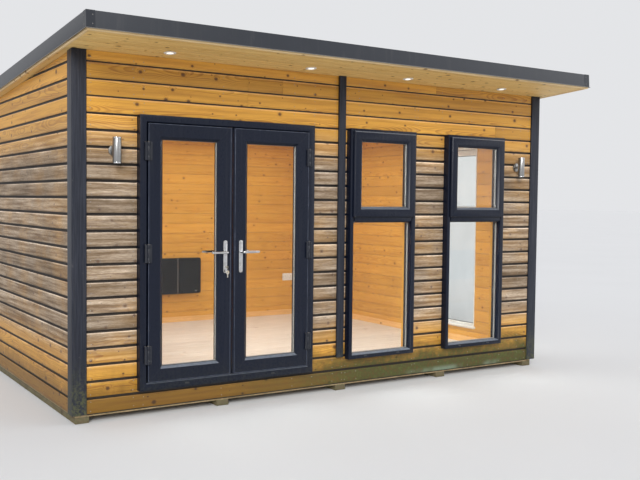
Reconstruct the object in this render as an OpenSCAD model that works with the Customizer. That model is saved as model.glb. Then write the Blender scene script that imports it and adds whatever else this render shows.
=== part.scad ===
// Garden office pod: a clad timber room with a pair of glazed doors, three tall
// windows and a roof that rises towards the front. Millimetres, front towards -Y.

/* [Front elevation] */
// Cladding between the left corner post and the doors
left_pier_w = 355; // [250:5:600]
// Overall width of the door frame
door_w = 1400; // [1200:10:1800]
// Overall height of the door frame
door_h = 1890; // [1800:10:2050]
// Cladding between the doors and the first window
middle_pier_w = 335; // [200:5:600]
// Overall width of a window frame
window_w = 655; // [500:5:900]
// Overall height of a window frame
window_h = 1825; // [1300:5:2000]
// Height of the windows' foot above the foot of the door frame
window_rise = 65; // [5:5:100]
// Cladding between the two front windows
window_gap = 350; // [150:5:600]
// Cladding between the second window and the right corner post
right_pier_w = 377; // [280:5:600]
// Width of the cover strip over the panel joint
strip_w = 62; // [40:1:90]
// Thickness of the cover strip
strip_t = 20; // [12:1:30]
// Clear distance from the cover strip to the first window
strip_gap = 28; // [10:1:60]
// Height of the cover strip's foot above the bottom of the cladding
strip_rise = 215; // [100:5:400]

/* [Body] */
// Overall depth over the corner posts
body_d = 3620; // [2400:10:5000]
// Height of the soffit above the ground at the front wall
eaves_z = 2479; // [2350:1:2800]
// Thickness of the framed and insulated wall core
core_t = 70; // [60:5:140]
// Thickness of the cladding boards
cladding_t = 18; // [12:1:28]
// Thickness of the inner lining boards
lining_t = 12; // [9:1:20]
// Distance that the corner posts stand proud of the cladding
post_proud = 12; // [5:1:20]
// Chamfer on the edges of the corner posts
post_edge = 4; // [1:1:5]
// Distance from the front cladding to the window in the right wall
side_window_run = 690; // [350:5:1500]

/* [Base] */
// Height of the bearers
bearer_h = 44; // [30:1:150]
// Width of a bearer
bearer_w = 95; // [60:1:150]
// Number of bearers
bearer_count = 5; // [3:1:8]
// Height of the floor joists
joist_h = 44; // [40:1:150]
// Width of a floor joist
joist_w = 45; // [35:1:60]
// Largest clear distance between joists
joist_bay = 400; // [300:10:420]
// Thickness of the floor deck
deck_t = 16; // [12:1:25]
// Thickness of the finished floor boards
floor_t = 8; // [6:1:20]
// Height of the bottom of the cladding above the ground
cladding_z = 55; // [48:1:85]
// Height of the foot of the corner posts above the ground
post_z = 63; // [50:1:85]
// Height of the sole plate that the doors stand on, above the deck
sole_h = 83; // [45:1:120]

/* [Roof] */
// Fall of the roof from front to back, in degrees
roof_pitch = 3.8; // [1:0.1:8]
// Thickness of the rafters and their deck
roof_t = 95; // [70:5:200]
// Reach of the roof in front of the cladding
front_reach = 512; // [200:2:900]
// Reach of the roof past the posts at the sides and back
side_reach = 60; // [30:2:200]
// Thickness of the soffit and ceiling boards
soffit_t = 12; // [9:1:20]
// Thickness of the fascia boards
fascia_t = 20; // [15:1:30]
// Distance that the fascia hangs below the soffit
fascia_drop = 4; // [0:1:20]
// Chamfer on the lower edge of the fascia
fascia_edge = 4; // [1:1:10]
// Thickness of the roof covering
cover_t = 4; // [2:1:10]
// Thickness of the metal edge trim
trim_t = 5; // [3:1:8]
// Height of fascia left bare below the edge trim
trim_rise = 10; // [10:1:50]
// Width of the edge trim's flange on the roof
trim_flange = 60; // [30:1:100]
// Kick of the edge trim's foot away from the fascia
trim_drip = 8; // [2:1:15]

/* [Doors] */
// Distance that the door frame stands proud of the cladding
door_proud = 50; // [20:1:60]
// Depth of the door frame, front to back
door_frame_depth = 90; // [80:1:120]
// Width of the door frame's face
door_face = 52; // [45:1:80]
// Bevel on the inner edge of the door frame's face
frame_bevel = 7; // [2:1:15]
// Width of the stop behind the leaves
door_stop = 22; // [18:1:30]
// Clearance round a closed leaf
leaf_gap = 5; // [5:0.5:8]
// Clearance between the two meeting stiles
meeting_gap = 7; // [6:0.5:9]
// Width of the closing strip on each meeting stile
meeting_strip = 12; // [6:1:30]
// Distance that the leaves stand proud of the frame's face
leaf_proud = 8; // [2:1:12]
// Thickness of a leaf
leaf_t = 60; // [50:1:70]
// Width of a leaf's stiles and rails
leaf_face = 106; // [90:1:140]
// Thickness of a leaf's front lip
lip_t = 20; // [12:1:28]
// Bevel on the outer edge of a leaf's front lip
lip_bevel = 3; // [1:1:6]
// Set back of the leaf's core behind its front lip
lip_step = 12; // [10:1:16]
// Width of the glazing bead's slope
bead_w = 18; // [10:1:30]
// Thickness of the sealed glass units
glass_t = 24; // [16:1:36]

/* [Door furniture] */
// Height of a hinge
hinge_h = 125; // [90:1:150]
// Outer radius of a hinge barrel
barrel_r = 9; // [8:0.5:12]
// Radius of a hinge pin
pin_r = 4; // [3:0.5:5]
// Running clearance round a pin or spindle
pin_gap = 0.3; // [0.2:0.05:0.5]
// Height of the caps on a hinge barrel
cap_h = 5; // [2:1:8]
// Reach of a hinge flag onto its leaf, from the pin
leaf_flag = 24; // [20:1:40]
// Reach of a hinge flag onto the frame, from the pin
frame_flag = 26; // [18:1:40]
// Distance from a hinge pin to the front of its flags
flag_front = 4; // [2:1:8]
// Radius of a hinge flag's corners
flag_edge = 5; // [2:1:8]
// Distance from a leaf's end to the middle of its outer hinges
hinge_inset = 190; // [120:5:300]
// Height of the levers above the bottom of the door frame
lever_rise = 943; // [850:1:1100]
// Length of a lever from its pivot
lever_l = 130; // [100:1:150]
// Distance that a lever stands off its plate
lever_out = 45; // [35:1:60]
// Radius of a lever's arm
lever_r = 9; // [7:0.5:11]
// Radius of the bend between a lever's neck and arm
lever_bend = 13; // [12:1:20]
// Radius of a lever's spindle
spindle_r = 4.5; // [4:0.5:6]
// Width of a handle plate
plate_w = 30; // [26:1:40]
// Radius of a handle plate's corners
plate_edge = 12; // [4:1:12]
// Height of a handle plate
plate_h = 234; // [200:1:260]
// Thickness of a handle plate
plate_t = 8; // [5:1:12]
// Radius of the raised collar round a lever's neck
collar_r = 12; // [10:1:14]
// Height of that collar above its plate
collar_t = 3; // [1:1:5]
// Distance from the lever's pivot to the top of its plate
plate_top = 84; // [60:1:100]
// Distance from the lever's pivot down to the lock cylinder
lock_drop = 106; // [70:1:120]
// Radius of the lock cylinder
lock_r = 8.5; // [7:0.5:10]
// Width of the lock cylinder's lower web
lock_web = 10; // [7:1:12]
// Distance from the lock cylinder's middle down to the round end of its web
lock_tail = 18; // [12:1:22]

/* [Windows] */
// Distance that a window frame stands proud of the cladding
window_proud = 55; // [25:1:70]
// Depth of a window frame, front to back
window_depth = 95; // [90:1:130]
// Width of a window frame's face
window_face = 41; // [30:1:60]
// Height of the opening top light, over its sash
sash_h = 677; // [400:1:800]
// Width of a sash's stiles and rails
sash_face = 80; // [60:1:100]
// Distance that a sash stands proud of its frame
sash_proud = 25; // [15:1:35]
// Overlap of a sash on its frame
sash_lap = 21; // [15:1:26]
// Slope of the bead and of the sash's outer edge
sash_slope = 18; // [8:1:30]
// Width of the base of a sash's inside handle
catch_w = 66; // [50:1:90]
// Height of that base
catch_h = 26; // [20:1:32]
// Thickness of that base
catch_t = 9; // [6:1:14]
// Radius of that handle's neck and of the corners of its base
catch_r = 8; // [5:1:9]
// Length of that handle's grip
grip_l = 118; // [90:1:140]
// Thickness of that handle's grip
grip_t = 10; // [8:1:16]
// Distance from the sash to the far side of that handle's grip
grip_out = 42; // [32:1:60]

/* [Lights and fittings] */
// Places of the downlights, from the left corner post
downlight_runs = [525, 1650, 2570, 3600]; // [0:5:4000]
// Distance of the downlights in front of the cladding
downlight_out = 150; // [80:5:300]
// Radius of a downlight's body
downlight_r = 34; // [25:1:45]
// Radius of a downlight's bezel
bezel_r = 43; // [35:1:60]
// Thickness of a downlight's bezel
bezel_t = 4; // [2:1:8]
// Depth of a downlight's body above the soffit
downlight_h = 60; // [40:1:80]
// Radius of a downlight's lens
lens_r = 25; // [15:1:30]
// Depth of the lens above the soffit
lens_rise = 2; // [1:1:10]
// Distance from a corner post to the middle of a wall lamp
lamp_run = 185; // [100:5:200]
// Height of the middle of a wall lamp
lamp_z = 1826; // [1500:1:2000]
// Radius of a wall lamp's tube
lamp_r = 29; // [20:1:40]
// Length of a wall lamp's tube
lamp_h = 171; // [120:1:250]
// Distance from the cladding to the middle of a lamp's tube
lamp_out = 70; // [60:1:120]
// Thickness of a lamp's tube
lamp_wall = 3; // [2:1:5]
// Depth of the recess at both ends of a lamp's tube
lamp_recess = 16; // [5:1:40]
// Radius of a lamp's wall plate
lamp_plate_r = 36; // [30:1:50]
// Thickness of a lamp's wall plate
lamp_plate_t = 12; // [6:1:20]
// Radius of a lamp's arm
lamp_arm_r = 10; // [6:1:15]
// Distance from the left corner post to the panel heater
heater_run = 1685; // [200:5:3000]
// Height of the heater's foot above the floor
heater_rise = 325; // [150:5:600]
// Width of the heater
heater_w = 760; // [500:5:1000]
// Height of the heater
heater_h = 407; // [250:2:600]
// Depth of the heater
heater_d = 62; // [40:1:100]
// Radius of the heater's corners
heater_edge = 25; // [10:1:40]
// Thickness of the heater's glass front
heater_glass_t = 8; // [4:1:12]
// Set back of the heater's case behind the edge of its glass
heater_inset = 45; // [20:1:70]
// Distance from the heater's right edge to the groove in its front
groove_in = 283; // [150:1:400]
// Width of that groove
groove_w = 8; // [4:1:20]
// Depth of that groove
groove_t = 3; // [1:1:5]
// Distance from the left corner post to the double socket
socket_run = 3567; // [200:5:3800]
// Height of the socket above the floor
socket_rise = 417; // [300:5:1200]
// Width of the socket
socket_w = 146; // [80:1:150]
// Height of the socket
socket_h = 86; // [80:1:90]
// Depth of the socket
socket_d = 10; // [6:1:20]
// Radius of the socket's corners
socket_edge = 6; // [2:1:12]

/* [Hidden] */
$fn = 48;

// Length that cuts run past the faces they open
over = 10;
// Room left where sloping pieces pass upright ones
slip = 1;
// Clearance between pieces on different bodies that turn face to face
turn_gap = 0.4;
// Clearance of a piece from the seat that carries it
seat_gap = 0.2;

post_w = post_proud + cladding_t + core_t;
front_l = left_pier_w + door_w + middle_pier_w + 2 * window_w + window_gap + right_pier_w;
body_w = front_l + 2 * post_w;

// Distances in from the posts' outer faces
core_in = post_proud + cladding_t;
room_in = post_w + lining_t;

left_x = -body_w / 2 + post_w;
face_y = -body_d / 2 + post_proud;
deck_z = bearer_h + joist_h;
sole_z = deck_z + deck_t;
floor_z = sole_z + floor_t;
door_z = sole_z + sole_h;
window_z = door_z + window_rise;

door_x = left_x + left_pier_w;
window_1_x = door_x + door_w + middle_pier_w;
window_2_x = window_1_x + window_w + window_gap;
strip_x = window_1_x - strip_gap - strip_w;
side_window_y = face_y + side_window_run;
face_x = body_w / 2 - post_proud;

leaf_w = (door_w - 2 * door_face - 2 * leaf_gap - meeting_gap) / 2;
ring_w = leaf_w - meeting_strip;
leaf_h = door_h - 2 * door_face - 2 * leaf_gap;
leaf_front = -door_proud - leaf_proud;
leaf_back = leaf_front + leaf_t;
leaf_z = door_z + door_face + leaf_gap;
left_leaf_x = door_x + door_face + leaf_gap;
right_leaf_x = left_leaf_x + leaf_w + meeting_gap;
hinge_x = [left_leaf_x - leaf_gap / 2, right_leaf_x + leaf_w + leaf_gap / 2];
hinge_y = face_y + leaf_front - barrel_r;
hinge_levels = [leaf_z + hinge_inset, leaf_z + leaf_h / 2, leaf_z + leaf_h - hinge_inset];
ring_x = [left_leaf_x, right_leaf_x + meeting_strip];
meeting_x = [left_leaf_x + ring_w, right_leaf_x];
meeting_face = leaf_face + meeting_strip;
lever_x = [left_leaf_x + leaf_w - meeting_face / 2, right_leaf_x + meeting_face / 2];
lever_z = door_z + lever_rise;
lever_ways = [-1, 1];

transom_h = window_face + sash_lap;
sash_w = window_w - 2 * (window_face - sash_lap);
sash_z = window_h - (window_face - sash_lap) - sash_h;
transom_z = sash_z - window_face;

roof_w = body_w + 2 * side_reach;

// Height of the soffit's underside at a distance along Y
function roof_z(y) = eaves_z - (y - face_y) * tan(roof_pitch);
// Height of the roof deck's underside at a distance along Y
function core_z(y) = roof_z(y) + soffit_t / cos(roof_pitch);
// Distance down the slope from the front cladding
function slope_run(y) = (y - face_y) / cos(roof_pitch);

roof_front = slope_run(face_y - front_reach);
roof_back = slope_run(body_d / 2 + side_reach);
roof_l = roof_back - roof_front;

// Places its children in the roof's own plane
module on_roof() {
    translate([0, face_y, eaves_z]) rotate([-roof_pitch, 0, 0]) children();
}

// Turns children drawn for the front wall onto the right wall
module on_right_wall() {
    translate([face_x, 0, 0]) rotate([0, 0, 90]) children();
}

// Upright slab along X whose top slopes just under the soffit, or just under the
// roof deck where it is part of a wall's core
module sloped_slab(x, w, y, d, z, core = false) {
    tops = [for (at = [y, y + d]) (core ? core_z(at) : roof_z(at)) - seat_gap];
    translate([x, 0, 0]) rotate([90, 0, 90]) linear_extrude(w)
        polygon([[y, z], [y + d, z], [y + d, tops[1]], [y, tops[0]]]);
}

// Rectangle with round corners and its middle at the origin
module rounded_rect(w, h, r) {
    square([w - 2 * r, h], center = true);
    square([w, h - 2 * r], center = true);
    for (x = [-1, 1], y = [-1, 1])
        translate([x * (w / 2 - r), y * (h / 2 - r)]) circle(r = r);
}

// Outline that follows points of [depth, inset] on one side of a span and mirrors them
// on the other
function mirrored_profile(span, points) = concat(
    points,
    [for (i = [len(points) - 1:-1:0]) [points[i][0], span - points[i][1]]]
);

// Block in the plane of the wall, its lower left corner at the origin, whose four sides
// follow the same points of [depth, inset]
module profiled_block(w, h, points) {
    intersection() {
        translate([-over, 0, 0]) rotate([90, 0, 90]) linear_extrude(w + 2 * over)
            polygon(mirrored_profile(h, points));
        translate([0, 0, -over]) linear_extrude(h + 2 * over)
            polygon([for (p = mirrored_profile(w, points)) [p[1], p[0]]]);
    }
}

// Frame of four mitred bars: the outer and inner points of its section run from front to back
module profiled_frame(w, h, outer, inner) {
    last = inner[len(inner) - 1];
    opening = concat(
        [[inner[0][0] - over, inner[0][1]]],
        inner,
        [[last[0] + over, last[1]]]
    );
    difference() {
        profiled_block(w, h, outer);
        profiled_block(w, h, opening);
    }
}

// Openings of the front wall, cut through whatever they are given
module front_openings(y, d) {
    translate([door_x, y, door_z]) cube([door_w, d, door_h]);
    for (x = [window_1_x, window_2_x])
        translate([x, y, window_z]) cube([window_w, d, window_h]);
}

// Bearers from front to back, on which the pod stands
module bearers() {
    first = -body_w / 2 + core_in;
    step = (body_w - 2 * core_in - bearer_w) / (bearer_count - 1);
    color("saddlebrown")
        for (i = [0:bearer_count - 1])
            translate([first + i * step, -body_d / 2 + core_in, 0])
                cube([bearer_w, body_d - 2 * core_in, bearer_h]);
}

// Rim joists along the front and back with joists between them
module floor_joists() {
    w = body_w - 2 * core_in;
    d = body_d - 2 * core_in;
    bays = ceil((w - joist_w) / (joist_bay + joist_w));
    step = (w - joist_w) / bays;
    color("peru") {
        for (y = [-d / 2, d / 2 - joist_w])
            translate([-w / 2, y, bearer_h]) cube([w, joist_w, joist_h]);
        for (i = [0:bays])
            translate([-w / 2 + i * step, -d / 2 + joist_w + seat_gap, bearer_h])
                cube([joist_w, d - 2 * joist_w - 2 * seat_gap, joist_h]);
    }
}

// Floor deck under walls and room
module floor_deck() {
    color("burlywood")
        translate([-body_w / 2 + core_in, -body_d / 2 + core_in, deck_z])
            cube([body_w - 2 * core_in, body_d - 2 * core_in, deck_t]);
}

// Finished floor of the room
module floor_boards() {
    color("wheat")
        translate([-body_w / 2 + post_w, -body_d / 2 + post_w, sole_z])
            cube([body_w - 2 * post_w, body_d - 2 * post_w, floor_t]);
}

// Columns of the front wall beside the openings, as deep as they are told
module pier_boxes(y, d) {
    piers = [
        [left_x, door_x],
        [door_x + door_w, window_1_x],
        [window_1_x + window_w, window_2_x],
        [window_2_x + window_w, left_x + front_l]
    ];
    for (pier = piers)
        translate([pier[0], y, door_z]) cube([pier[1] - pier[0], d, door_h]);
}

// Rest of the front wall's core: the sole plate with the sills, and the header
module front_rails() {
    y = -body_d / 2 + core_in;
    color("burlywood") difference() {
        sloped_slab(left_x, front_l, y, core_t, sole_z, true);
        pier_boxes(y - over, core_t + 2 * over);
        front_openings(y - over, core_t + 2 * over);
    }
}

// Uprights of the front wall beside the openings
module front_piers() {
    color("burlywood") pier_boxes(-body_d / 2 + core_in, core_t);
}

// Plain back wall between the rear posts
module back_wall() {
    color("burlywood") sloped_slab(left_x, front_l, body_d / 2 - post_w, core_t, sole_z, true);
}

// Plain left wall between the corner posts
module left_wall() {
    color("burlywood")
        sloped_slab(-body_w / 2 + core_in, core_t, -body_d / 2 + post_w, body_d - 2 * post_w, sole_z, true);
}

// Right wall in front of and behind its window
module right_wall_piers() {
    x = body_w / 2 - post_w;
    y = -body_d / 2 + post_w;
    color("burlywood") {
        sloped_slab(x, core_t, y, side_window_y - y, sole_z, true);
        sloped_slab(x, core_t, side_window_y + window_w,
            body_d / 2 - post_w - side_window_y - window_w, sole_z, true);
    }
}

// Right wall under and over its window
module right_wall_rails() {
    x = body_w / 2 - post_w;
    color("burlywood") {
        translate([x, side_window_y, sole_z]) cube([core_t, window_w, window_z - sole_z]);
        sloped_slab(x, core_t, side_window_y, window_w, window_z + window_h, true);
    }
}

// Cladding of the front wall
module front_cladding() {
    color("goldenrod") difference() {
        sloped_slab(left_x, front_l, face_y, cladding_t, cladding_z);
        front_openings(face_y - over, cladding_t + 2 * over);
    }
}

// Cladding of the back wall
module back_cladding() {
    color("goldenrod")
        sloped_slab(left_x, front_l, body_d / 2 - core_in, cladding_t, cladding_z);
}

// Cladding of the two end walls
module end_cladding() {
    y = -body_d / 2 + post_w;
    d = body_d - 2 * post_w;
    color("goldenrod") {
        sloped_slab(-body_w / 2 + post_proud, cladding_t, y, d, cladding_z);
        difference() {
            sloped_slab(body_w / 2 - core_in, cladding_t, y, d, cladding_z);
            translate([body_w / 2 - core_in - over, side_window_y, window_z])
                cube([cladding_t + 2 * over, window_w, window_h]);
        }
    }
}

// Lining inside the front wall
module front_lining() {
    color("sandybrown") difference() {
        sloped_slab(-body_w / 2 + room_in, body_w - 2 * room_in, -body_d / 2 + post_w, lining_t, floor_z);
        front_openings(-body_d / 2 + post_w - over, lining_t + 2 * over);
    }
}

// Lining inside the back wall
module back_lining() {
    color("sandybrown")
        sloped_slab(-body_w / 2 + room_in, body_w - 2 * room_in, body_d / 2 - room_in, lining_t, floor_z);
}

// Lining inside the two end walls
module end_linings() {
    y = -body_d / 2 + post_w;
    d = body_d - 2 * post_w;
    color("sandybrown") {
        sloped_slab(-body_w / 2 + post_w, lining_t, y, d, floor_z);
        difference() {
            sloped_slab(body_w / 2 - room_in, lining_t, y, d, floor_z);
            translate([body_w / 2 - room_in - over, side_window_y, window_z])
                cube([lining_t + 2 * over, window_w, window_h]);
        }
    }
}

// Corner posts with chamfered edges, rebated over the edge of the floor
module corner_posts() {
    w = post_w;
    e = post_edge;
    outline = [[e, 0], [w - e, 0], [w, e], [w, w - e], [w - e, w], [e, w], [0, w - e], [0, e]];
    color("darkslategray") difference() {
        for (x = [-body_w / 2, body_w / 2 - w])
            for (y = [-body_d / 2, body_d / 2 - w])
                intersection() {
                    sloped_slab(x, w, y, w, post_z);
                    translate([x, y, 0]) linear_extrude(eaves_z + over) polygon(outline);
                }
        translate([-body_w / 2 + core_in, -body_d / 2 + core_in, 0])
            cube([body_w - 2 * core_in, body_d - 2 * core_in, sole_z]);
    }
}

// Upright strip over the joint of the two front wall panels
module cover_strip() {
    color("darkslategray")
        sloped_slab(strip_x, strip_w, face_y - strip_t, strip_t, cladding_z + strip_rise);
}

// Door frame with a stop behind the leaves
module door_frame() {
    back = door_frame_depth - door_proud;
    stop_y = leaf_back + leaf_gap;
    outer = [[-door_proud, 0], [back, 0]];
    inner = [
        [-door_proud, door_face - frame_bevel],
        [-door_proud + frame_bevel, door_face],
        [stop_y, door_face],
        [stop_y, door_face + door_stop],
        [back, door_face + door_stop]
    ];
    color("darkslategray")
        translate([door_x, face_y, door_z]) profiled_frame(door_w, door_h, outer, inner);
}

// Outline of the lock cylinder, or of its hole, which is larger all round by a gap
module lock_outline(gap) {
    circle(r = lock_r + gap);
    translate([0, -lock_tail]) circle(r = lock_web / 2 + gap);
    translate([-lock_web / 2 - gap, -lock_tail]) square([lock_web + 2 * gap, lock_tail]);
}

// Mitred leaf with a front lip, a core set back behind it, sloping beads and a closing
// strip on its meeting stile
module leaf(side) {
    b = lip_bevel;
    lip_back = leaf_front + lip_t;
    outer = [
        [leaf_front, b],
        [leaf_front + b, 0],
        [lip_back, 0],
        [lip_back, lip_step],
        [leaf_back, lip_step]
    ];
    inner = [
        [leaf_front, leaf_face - bead_w],
        [leaf_front + bead_w, leaf_face],
        [leaf_back, leaf_face]
    ];
    difference() {
        union() {
            translate([ring_x[side], face_y, leaf_z]) profiled_frame(ring_w, leaf_h, outer, inner);
            translate([meeting_x[side], face_y, leaf_z]) linear_extrude(leaf_h)
                polygon([
                    [0, leaf_front + b],
                    [b, leaf_front],
                    [meeting_strip - b, leaf_front],
                    [meeting_strip, leaf_front + b],
                    [meeting_strip, lip_back],
                    [0, lip_back]
                ]);
        }
        translate([lever_x[side], face_y + leaf_back + over, lever_z]) rotate([90, 0, 0])
            cylinder(h = leaf_t + 2 * over, r = spindle_r + pin_gap);
        translate([lever_x[side], face_y + leaf_back + over, lever_z - lock_drop]) rotate([90, 0, 0])
            linear_extrude(leaf_t + 2 * over) lock_outline(pin_gap);
    }
}

module left_leaf() {
    color("darkslategray") leaf(0);
}

module right_leaf() {
    color("darkslategray") leaf(1);
}

// Sealed glass unit of a leaf
module leaf_glass(side) {
    color([0.7, 0.8, 0.85, 0.35])
        translate([ring_x[side] + leaf_face, face_y + leaf_front + bead_w, leaf_z + leaf_face])
            cube([ring_w - 2 * leaf_face, glass_t, leaf_h - 2 * leaf_face]);
}

module left_door_glass() {
    leaf_glass(0);
}

module right_door_glass() {
    leaf_glass(1);
}

// Thick flag of a hinge with round corners: it starts beside the barrel, reaches to a
// distance from the pin, and goes from a seat behind the pin to a front before it
module hinge_flag(way, reach, seat, front) {
    start = barrel_r + slip;
    translate([way * (reach + start) / 2, seat, 0]) rotate([90, 0, 0])
        linear_extrude(seat + front) rounded_rect(reach - start, hinge_h, flag_edge);
}

// Frame half of a hinge round its pin: two capped knuckles, the pin and a flag
module frame_half(way) {
    knuckle = hinge_h / 4;
    flag_y = barrel_r + leaf_proud;
    cylinder(h = hinge_h, r = pin_r, center = true);
    for (end = [-1, 1])
        translate([0, 0, end * (hinge_h - knuckle) / 2]) {
            cylinder(h = knuckle, r = barrel_r, center = true);
            translate([way * (barrel_r + slip + flag_edge) / 2, flag_y / 2, 0])
                cube([barrel_r + slip + flag_edge, flag_y, knuckle - 2 * flag_edge], center = true);
        }
    translate([0, 0, hinge_h / 2]) cylinder(h = cap_h, r1 = barrel_r, r2 = pin_r);
    translate([0, 0, -hinge_h / 2 - cap_h]) cylinder(h = cap_h, r1 = pin_r, r2 = barrel_r);
    hinge_flag(way, frame_flag, flag_y, flag_front);
}

module frame_hinges() {
    color("dimgray")
        for (side = [0, 1])
            for (z = hinge_levels)
                translate([hinge_x[side], hinge_y, z]) frame_half(lever_ways[side]);
}

// Leaf half of a hinge: a bored knuckle between the other two, a neck and a flag
module leaf_half(way) {
    knuckle = hinge_h / 2 - 2 * turn_gap;
    neck = barrel_r + slip + flag_edge;
    difference() {
        union() {
            cylinder(h = knuckle, r = barrel_r, center = true);
            translate([-way * neck / 2, (barrel_r - flag_front) / 2, 0])
                cube([neck, barrel_r + flag_front, knuckle], center = true);
            hinge_flag(-way, leaf_flag, barrel_r, flag_front);
        }
        cylinder(h = hinge_h, r = pin_r + pin_gap, center = true);
    }
}

module leaf_hinges(side) {
    color("dimgray")
        for (z = hinge_levels)
            translate([hinge_x[side], hinge_y, z]) leaf_half(lever_ways[side]);
}

module left_hinges() {
    leaf_hinges(0);
}

module right_hinges() {
    leaf_hinges(1);
}

// Handle plates on both faces of a leaf with a collar each, joined by the lock cylinder
module handle_set(x) {
    set_d = leaf_t + 2 * plate_t;
    color("silver") translate([x, face_y + leaf_front + leaf_t / 2, lever_z]) rotate([90, 0, 0])
        difference() {
            union() {
                for (z = [-set_d / 2, set_d / 2 - plate_t])
                    translate([0, plate_top - plate_h / 2, z])
                        linear_extrude(plate_t) rounded_rect(plate_w, plate_h, plate_edge);
                for (end = [-1, 1])
                    translate([0, 0, end * (set_d - plate_t + collar_t) / 2])
                        cylinder(h = plate_t + collar_t, r = collar_r, center = true);
                translate([0, -lock_drop, -set_d / 2 - slip])
                    linear_extrude(set_d + 2 * slip) lock_outline(0);
            }
            cylinder(h = set_d + 2 * over, r = spindle_r + pin_gap, center = true);
        }
}

module left_handle_set() {
    handle_set(lever_x[0]);
}

module right_handle_set() {
    handle_set(lever_x[1]);
}

// Levers on both faces of a leaf, joined by their spindle: each has a neck, a bend, an
// arm that points away from the other leaf and a round end
module lever_pair(side) {
    way = lever_ways[side];
    root_y = leaf_t / 2 + plate_t + collar_t + turn_gap;
    neck = lever_out - lever_bend;
    arm = lever_l - lever_bend - lever_r;
    color("silver")
        translate([lever_x[side], face_y + leaf_front + leaf_t / 2, lever_z]) {
            rotate([90, 0, 0]) cylinder(h = 2 * root_y + neck, r = spindle_r, center = true);
            for (end = [-1, 1]) {
                translate([0, end * (root_y + neck / 2), 0]) rotate([90, 0, 0])
                    cylinder(h = neck, r = lever_r, center = true);
                translate([way * lever_bend, end * (root_y + neck), 0])
                    rotate([0, 0, (end > 0 ? 45 + 45 * way : 225 - 45 * way)])
                        rotate_extrude(angle = 90) translate([lever_bend, 0]) circle(r = lever_r);
                translate([way * lever_bend, end * (root_y + lever_out), 0]) {
                    rotate([0, way * 90, 0]) cylinder(h = arm, r = lever_r);
                    translate([way * arm, 0, 0]) sphere(r = lever_r);
                }
            }
        }
}

module left_lever() {
    lever_pair(0);
}

module right_lever() {
    lever_pair(1);
}

// Window frame with its transom, lower left corner at the origin
module window_frame() {
    back = window_depth - window_proud;
    outer = [[-window_proud, 0], [back, 0]];
    inner = [
        [-window_proud, window_face - sash_lap / 2],
        [-window_proud + sash_slope, window_face],
        [back, window_face]
    ];
    profiled_frame(window_w, window_h, outer, inner);
    translate([window_face, -window_proud + sash_slope, transom_z])
        cube([window_w - 2 * window_face, window_depth - sash_slope, transom_h]);
    translate([window_face, -window_proud, transom_z + sash_slope / 2])
        cube([window_w - 2 * window_face, sash_slope, transom_h - sash_slope / 2]);
}

// Top hung sash, lower left corner of its window at the origin
module window_sash() {
    front = -window_proud - sash_proud;
    outer = [
        [front, sash_slope / 2],
        [front + sash_slope / 2, 0],
        [-window_proud, 0],
        [-window_proud, sash_lap + slip],
        [-slip, sash_lap + slip]
    ];
    inner = [
        [front, sash_face - sash_slope],
        [front + sash_slope, sash_face],
        [-slip, sash_face]
    ];
    translate([window_face - sash_lap, 0, sash_z]) {
        profiled_frame(sash_w, sash_h, outer, inner);
        translate([sash_w / 2, -slip, (sash_face + sash_lap) / 2]) sash_handle();
    }
}

// Handle inside a sash, drawn from the middle of its base, with its grip lying along the rail
module sash_handle() {
    grip_h = 2 * catch_r;
    rotate([-90, 0, 0]) {
        linear_extrude(catch_t) rounded_rect(catch_w, catch_h, catch_r);
        cylinder(h = grip_out - grip_t / 2, r = catch_r);
        translate([grip_l / 2 - catch_r, 0, grip_out - grip_t])
            linear_extrude(grip_t) rounded_rect(grip_l, grip_h, catch_r - slip);
    }
}

// Fixed lower pane and the sash's pane
module window_panes() {
    lower_h = transom_z - window_face;
    translate([window_face, -glass_t / 2, window_face])
        cube([window_w - 2 * window_face, glass_t, lower_h]);
    translate([window_face - sash_lap + sash_face, -window_proud, sash_z + sash_face])
        cube([sash_w - 2 * sash_face, glass_t, sash_h - 2 * sash_face]);
}

// Places its children at each front window
module at_front_windows() {
    for (x = [window_1_x, window_2_x])
        translate([x, face_y, window_z]) children();
}

// Places its children at the window of the right wall
module at_side_window() {
    on_right_wall() translate([side_window_y, 0, window_z]) children();
}

module front_window_frames() {
    color("darkslategray") at_front_windows() window_frame();
}

module side_window_frame() {
    color("darkslategray") at_side_window() window_frame();
}

module front_window_sashes() {
    color("darkslategray") at_front_windows() window_sash();
}

module side_window_sash() {
    color("darkslategray") at_side_window() window_sash();
}

module window_glass() {
    color([0.7, 0.8, 0.85, 0.35]) {
        at_front_windows() window_panes();
        at_side_window() window_panes();
    }
}

// Slab of the roof's outline less a margin, between two heights above the soffit's underside
module roof_slab(margin, low, high) {
    translate([-roof_w / 2 + margin, roof_front + margin, low])
        cube([roof_w - 2 * margin, roof_l - 2 * margin, high - low]);
}

// Rafters, insulation and deck as one sloping slab, pocketed for the downlights
module roof_deck() {
    color("tan") on_roof() difference() {
        roof_slab(fascia_t, soffit_t, soffit_t + roof_t);
        for (x = downlight_runs)
            translate([left_x + x, -downlight_out, 0])
                cylinder(h = downlight_h + over, r = downlight_r + slip);
    }
}

// Roof covering, over the deck and the fascia
module roof_cover() {
    color("dimgray") on_roof() roof_slab(seat_gap, soffit_t + roof_t, soffit_t + roof_t + cover_t);
}

// Frame round the roof, further out than its edge by a distance: the depths of its
// section are heights above the soffit's underside
module roof_frame(out, outer, inner) {
    translate([-roof_w / 2 - out, roof_back + out, 0]) rotate([90, 0, 0])
        profiled_frame(roof_w + 2 * out, roof_l + 2 * out, outer, inner);
}

// Fascia boards round the edge of the roof
module fascia() {
    top = soffit_t + roof_t;
    outer = [[-fascia_drop, fascia_edge], [-fascia_drop + fascia_edge, 0], [top, 0]];
    inner = [[-fascia_drop, fascia_t - seat_gap], [top, fascia_t - seat_gap]];
    color("burlywood") on_roof() roof_frame(0, outer, inner);
}

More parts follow.
